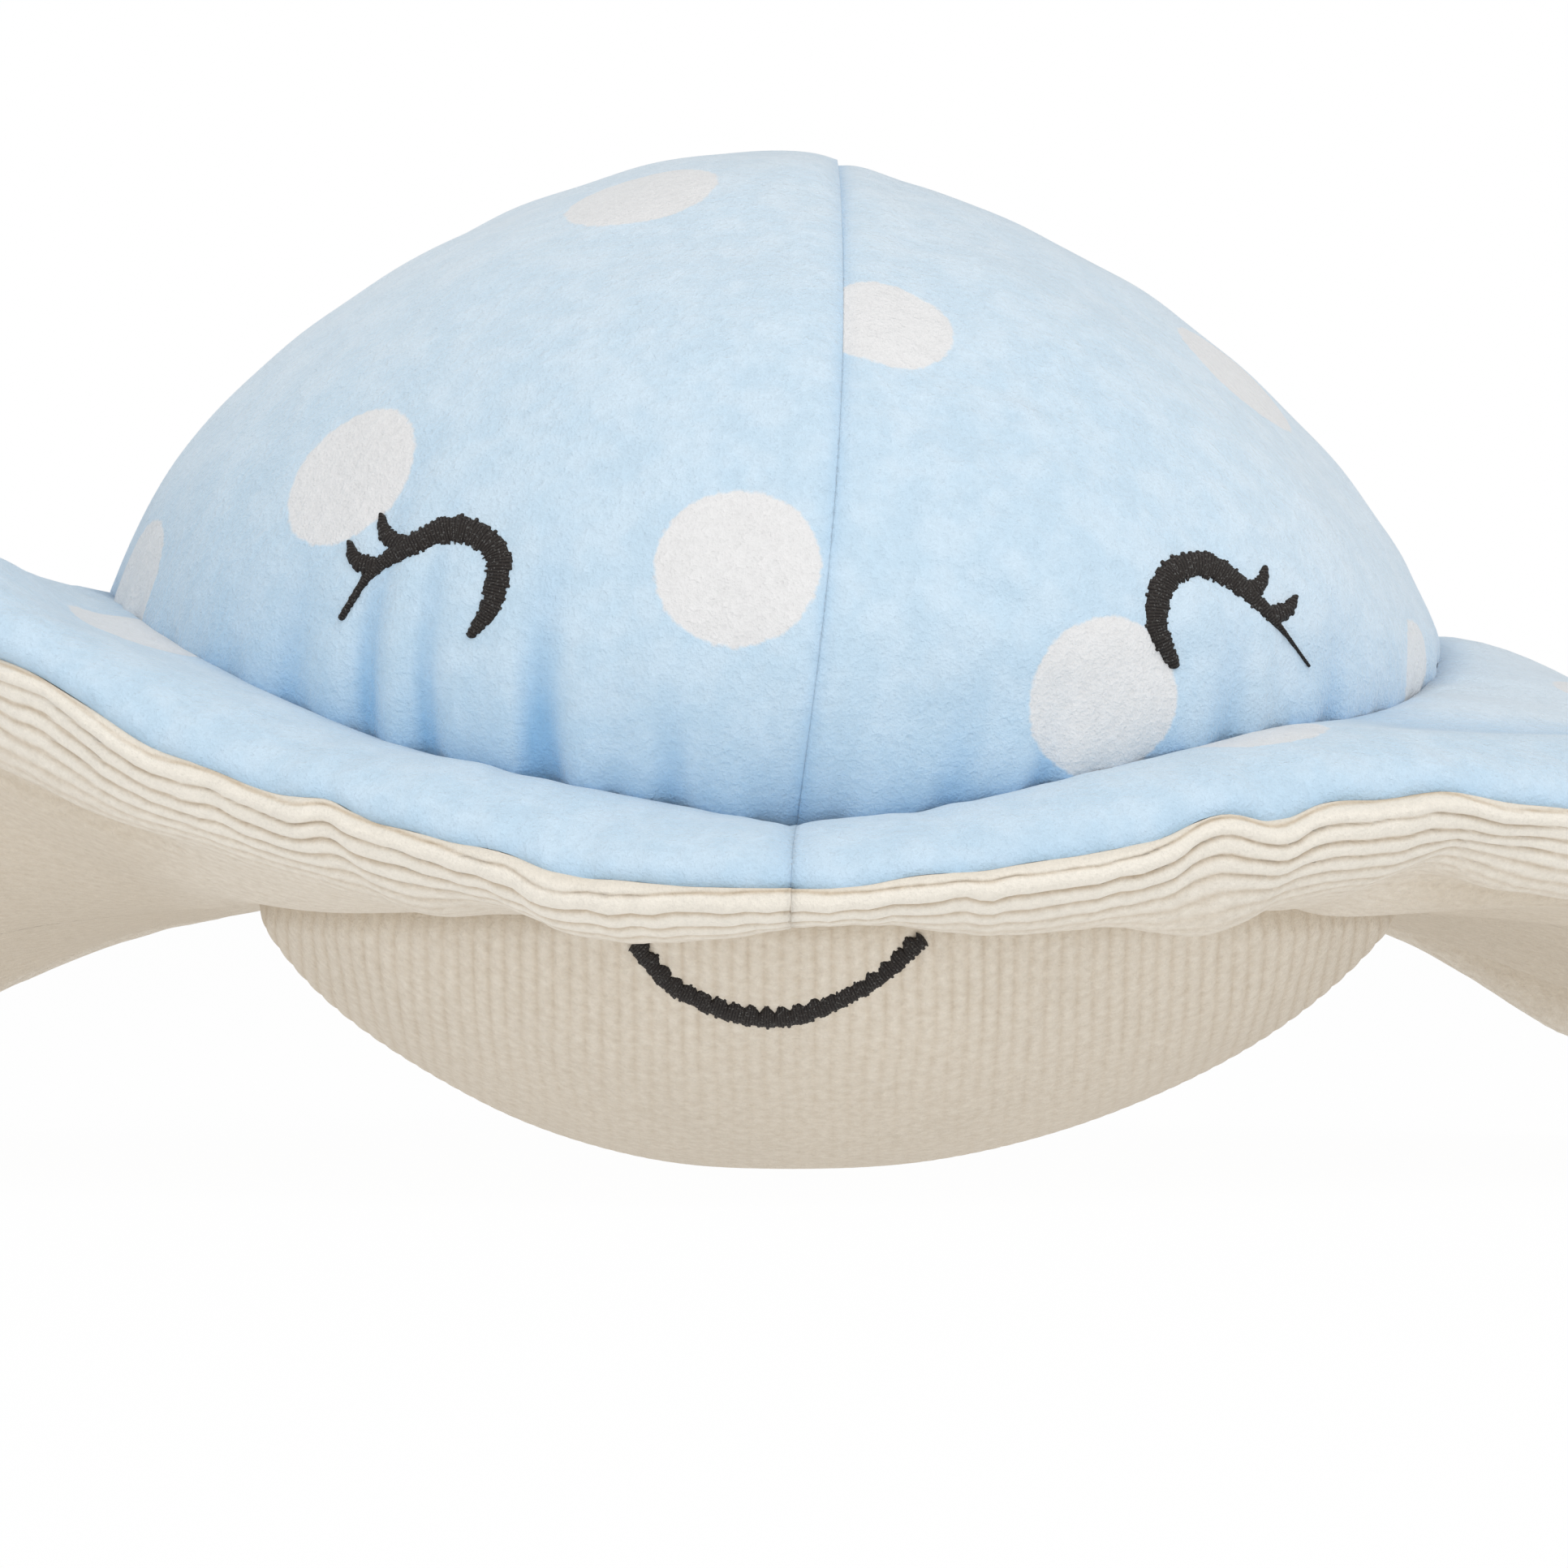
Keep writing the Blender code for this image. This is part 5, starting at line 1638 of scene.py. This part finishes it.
@dataclass
class Face:
    """The embroidered face: two closed eyes with lashes, and a smile."""

    thread: bpy.types.Material
    stitch_pitch: float = 0.42 * MM
    stitch_samples: int = 6
    tooth_pitch: float = 2.4 * MM
    across_steps: int = 14
    height: float = 0.75 * MM
    ridge: float = 0.13 * MM
    sunk: float = 0.5 * MM
    pull: float = 0.45 * MM
    pull_width: float = 3.2 * MM

    def sewn_in(self, points: Array) -> Array:
        """How far the stitches pull the cloth in around them: a bell of the distance to a stroke."""
        total = np.zeros(points.shape[:-1])
        front = points[..., 1] < 0.0
        plan = points[front][:, [0, 2]]
        nearest = np.full(len(plan), 1.0)
        for stroke in (*LEFT_EYE, *RIGHT_EYE, *SMILE):
            line, _ = stroke.line(np.linspace(0.0, 1.0, 40))
            distance = np.linalg.norm(plan[:, None] - line[None], axis=-1).min(axis=1)
            nearest = np.minimum(nearest, distance)
        total[front] = self.pull * bell(nearest, self.pull_width)
        return total

    def stroke_shell(self, stroke: Stroke, surface: Surface, seed: int) -> tuple[Array, Array, Array]:
        """One stroke of stitches as a closed tube, flat below.

        Going round the section, the across place is -cos(2 pi v): above the cloth the section is a
        half oval with a ridge for each stitch, and below it is flat. The ends shrink to a point.

        Args:
            stroke: The line of stitches.
            surface: The cloth's outer surface behind points of the front view.
            seed: The seed of the stitches' uneven ends.

        Returns:
            The points, the triangles and each point's height on its stitch, 0 to 1.
        """
        stitches = max(int(stroke.length / self.stitch_pitch), 6)
        steps = stitches * self.stitch_samples
        along = np.linspace(0.0, 1.0, steps + 1)
        around = np.linspace(0.0, 1.0, 2 * self.across_steps + 1)
        draw = np.random.default_rng(seed)
        number = np.minimum((along * stitches).astype(int), stitches - 1)
        ends = draw.uniform(-1.0, 1.0, (2, stitches))[:, number]
        crown = np.abs(np.sin(math.pi * along * stitches)) ** 0.5
        line, slope = stroke.line(along)
        sideways = np.stack([-slope[:, 1], slope[:, 0]], axis=-1)
        sideways *= np.sign(sideways[:, 1:].sum())
        half = 0.5 * stroke.width(along)
        tip = np.sqrt(np.clip(np.minimum(along, 1.0 - along) * steps / 5.0, 0.0, 1.0))
        rough = 0.15 + 0.03 * crown
        tooth = np.abs(np.sin(math.pi * along * stroke.length / self.tooth_pitch)) ** 0.8
        upper = half * (1.0 + rough * ends[0] + stroke.teeth * (tooth - 0.6)) * tip
        lower = half * (1.0 + rough * ends[1]) * tip
        across = -np.cos(FULL_TURN * around)
        reach = np.where(across > 0.0, upper[:, None] * across, lower[:, None] * across)
        flat = line[:, None] + reach[..., None] * sideways[:, None]
        base = surface(flat[..., 0], flat[..., 1])
        right, up = flat[..., 0], flat[..., 1]
        normal = np.cross(
            surface(right + SLOPE_STEP, up) - surface(right - SLOPE_STEP, up),
            surface(right, up + SLOPE_STEP) - surface(right, up - SLOPE_STEP),
        )
        normal /= np.linalg.norm(normal, axis=-1, keepdims=True)
        normal *= np.where(normal[..., 1:2] > 0.0, -1.0, 1.0)
        above = (around < 0.5)[None, :] * np.sqrt(np.clip(1.0 - across**2, 0.0, 1.0))[None, :]
        high = (self.height + self.ridge * (crown[:, None] - 1.0)) * above * tip[:, None]
        points = base + (high - self.sunk)[..., None] * normal
        index = np.arange(points.shape[0] * points.shape[1]).reshape(points.shape[:2])
        points[:, -1] = points[:, 0]
        # Each point's height on its stitch, for the thread's painted highlight
        glint = np.broadcast_to(crown[:, None], index.shape).copy()
        kept, first, faces = weld(points.reshape(-1, 3), grid_triangles(index))
        return kept, faces, glint.ravel()[first]

    def embroider(self, name: str, node: str, strokes: Sequence[Stroke], surface: Surface) -> None:
        """Build and dress one patch of embroidery."""
        shells = [self.stroke_shell(stroke, surface, 70 + place) for place, stroke in enumerate(strokes)]
        counts = np.cumsum([0] + [len(points) for points, _, _ in shells])
        faces = []
        for (points, triangles, _), shift in zip(shells, counts):
            a, b, c = (points[triangles[:, corner]] for corner in range(3))
            middle = points.mean(axis=0)
            volume = np.einsum("ij,ij->i", a - middle, np.cross(b - middle, c - middle)).sum()
            faces.append((triangles if volume > 0.0 else triangles[:, ::-1]) + shift)
        points = np.concatenate([shell[0] for shell in shells])
        # The painted highlight on each stitch's crown
        glint = np.concatenate([shell[2] for shell in shells])
        dress(mesh_object(name, points, np.concatenate(faces), {"stitch": glint}), node, self.thread)

    def build(self, crown: Crown, belly: Belly) -> None:
        """Sew the eyes on the crown and the smile on the belly."""
        self.embroider("eye_stitching_left", "eye_left", LEFT_EYE, crown.front)
        self.embroider("eye_stitching_right", "eye_right", RIGHT_EYE, crown.front)
        self.embroider("mouth_stitching", "mouth", SMILE, belly.form.front)


# The studio


@dataclass(frozen=True)
class Lamp:
    """A square soft lamp that faces the toy: its place and width in metres, and its power in watts."""

    name: str
    place: tuple[float, float, float]
    size: float
    power: float

    def add(self, target_height: float) -> None:
        """Add the lamp, turned to a point over the origin."""
        data = bpy.data.lights.new(self.name, "AREA")
        data.shape = "SQUARE"
        data.size = self.size
        data.energy = self.power
        made = link_object(self.name, data)
        made.location = self.place
        x, y, z = self.place
        made.rotation_euler = (math.atan2(math.hypot(x, y), z - target_height), 0.0, math.atan2(x, -y))


@dataclass
class Studio:
    """A pale floor, soft light and a level camera in front of the face."""

    camera_place: tuple[float, float, float] = (-1.0 * MM, -1100.0 * MM, 58.6 * MM)
    lens: float = 163.98
    sensor: float = 36.0
    floor_half: float = 4.0
    world_strength: float = 0.60
    floor_glow: float = 0.97
    floor_bounce: float = 0.56
    lamp_target: float = 70.0 * MM
    lamps: tuple[Lamp, ...] = (
        Lamp("key_lamp", (0.55, -0.75, 1.15), 1.1, 7.5),
        Lamp("fill_lamp", (-0.9, -0.9, 0.6), 1.2, 2.0),
        Lamp("front_lamp", (0.1, -1.7, 0.12), 1.4, 3.8),
    )

    def camera(self) -> None:
        """A level camera that looks along +Y."""
        data = bpy.data.cameras.new("photo_camera")
        data.lens = self.lens
        data.sensor_width = self.sensor
        data.clip_start = 0.05
        data.clip_end = 50.0
        made = link_object("photo_camera", data)
        made.location = self.camera_place
        made.rotation_euler = (QUARTER_TURN, 0.0, 0.0)
        bpy.context.scene.camera = made

    def seen(self, bench: Bench) -> Signal:
        """1 for rays from the camera, from gloss or through glass, else 0."""
        path = bench.node("ShaderNodeLightPath")
        kinds = ("Camera", "Glossy", "Transmission")
        camera, gloss, glass = (Signal(bench, path.outputs[f"Is {kind} Ray"]) for kind in kinds)
        return bench.math("MAXIMUM", bench.math("MAXIMUM", camera, gloss), glass)

    def world(self) -> None:
        """Even light all round, and plain white where it is seen."""
        world = bpy.data.worlds.new("studio")
        bpy.context.scene.world = world
        bench = Bench(world)
        strength = self.seen(bench) * (1.0 - self.world_strength) + self.world_strength
        glow = bench.node("ShaderNodeBackground", inputs={"Color": (1.0, 1.0, 1.0), "Strength": strength})
        bench.node("ShaderNodeOutputWorld", inputs={"Surface": glow.outputs[0]})

    def floor(self) -> None:
        """A wide white floor that keeps a faint shadow and lights the toy a little from below."""
        half = self.floor_half
        corners = [(-half, -half, 0.0), (half, -half, 0.0), (half, half, 0.0), (-half, half, 0.0)]
        mesh = bpy.data.meshes.new("floor")
        mesh.from_pydata(corners, [], [(0, 1, 2, 3)])
        made = link_object("floor", mesh)
        material = bpy.data.materials.new("floor")
        bench = Bench(material)
        plain = bench.node("ShaderNodeBsdfDiffuse", inputs={"Color": (0.92, 0.92, 0.92)})
        glow = bench.node("ShaderNodeEmission", inputs={"Color": (1.0, 1.0, 1.0), "Strength": 1.0})
        share = self.seen(bench) * (self.floor_glow - self.floor_bounce) + self.floor_bounce
        inputs = {0: share, 1: plain.outputs[0], 2: glow.outputs[0]}
        both = bench.node("ShaderNodeMixShader", inputs=inputs)
        bench.node("ShaderNodeOutputMaterial", inputs={"Surface": both.outputs[0]})
        mesh.materials.append(material)

    def build(self) -> None:
        """Set up the studio."""
        bpy.context.scene.view_settings.view_transform = "Standard"
        self.camera()
        self.world()
        self.floor()
        for lamp in self.lamps:
            lamp.add(self.lamp_target)


def dress_fillings(fibre: bpy.types.Material) -> None:
    """Give the hidden fillings their fibre."""
    for name in ("body_filling", "wing_filling_left", "wing_filling_right", "tail_filling"):
        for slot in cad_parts[name].material_slots:
            slot.material = fibre
        LOG.info("%s dressed", name)


def main() -> None:
    """Build the toy's skins, embroidery and studio."""
    logging.basicConfig(level=logging.INFO, format="%(message)s")
    plush = Plush("dotted_plush", "blue_plush").make()
    corduroy = Corduroy("ribbed_corduroy", "cream_corduroy").make()
    thread = Thread("satin_thread", "black_thread").make()
    fibre = Fibre("loose_fibre", "white_fibre").make()
    sewing = Sewing(plush, corduroy)
    face = Face(thread)
    crown = Crown(sewing, face)
    wings = Wings(sewing)
    belly = Belly(sewing, face)
    for side in Side:
        crown.build(side)
        wings.build_top(side)
        wings.build_under(side)
    belly.build()
    Tail(sewing).build()
    face.build(crown, belly)
    dress_fillings(fibre)
    Studio().build()


if __name__ == "__main__":
    main()
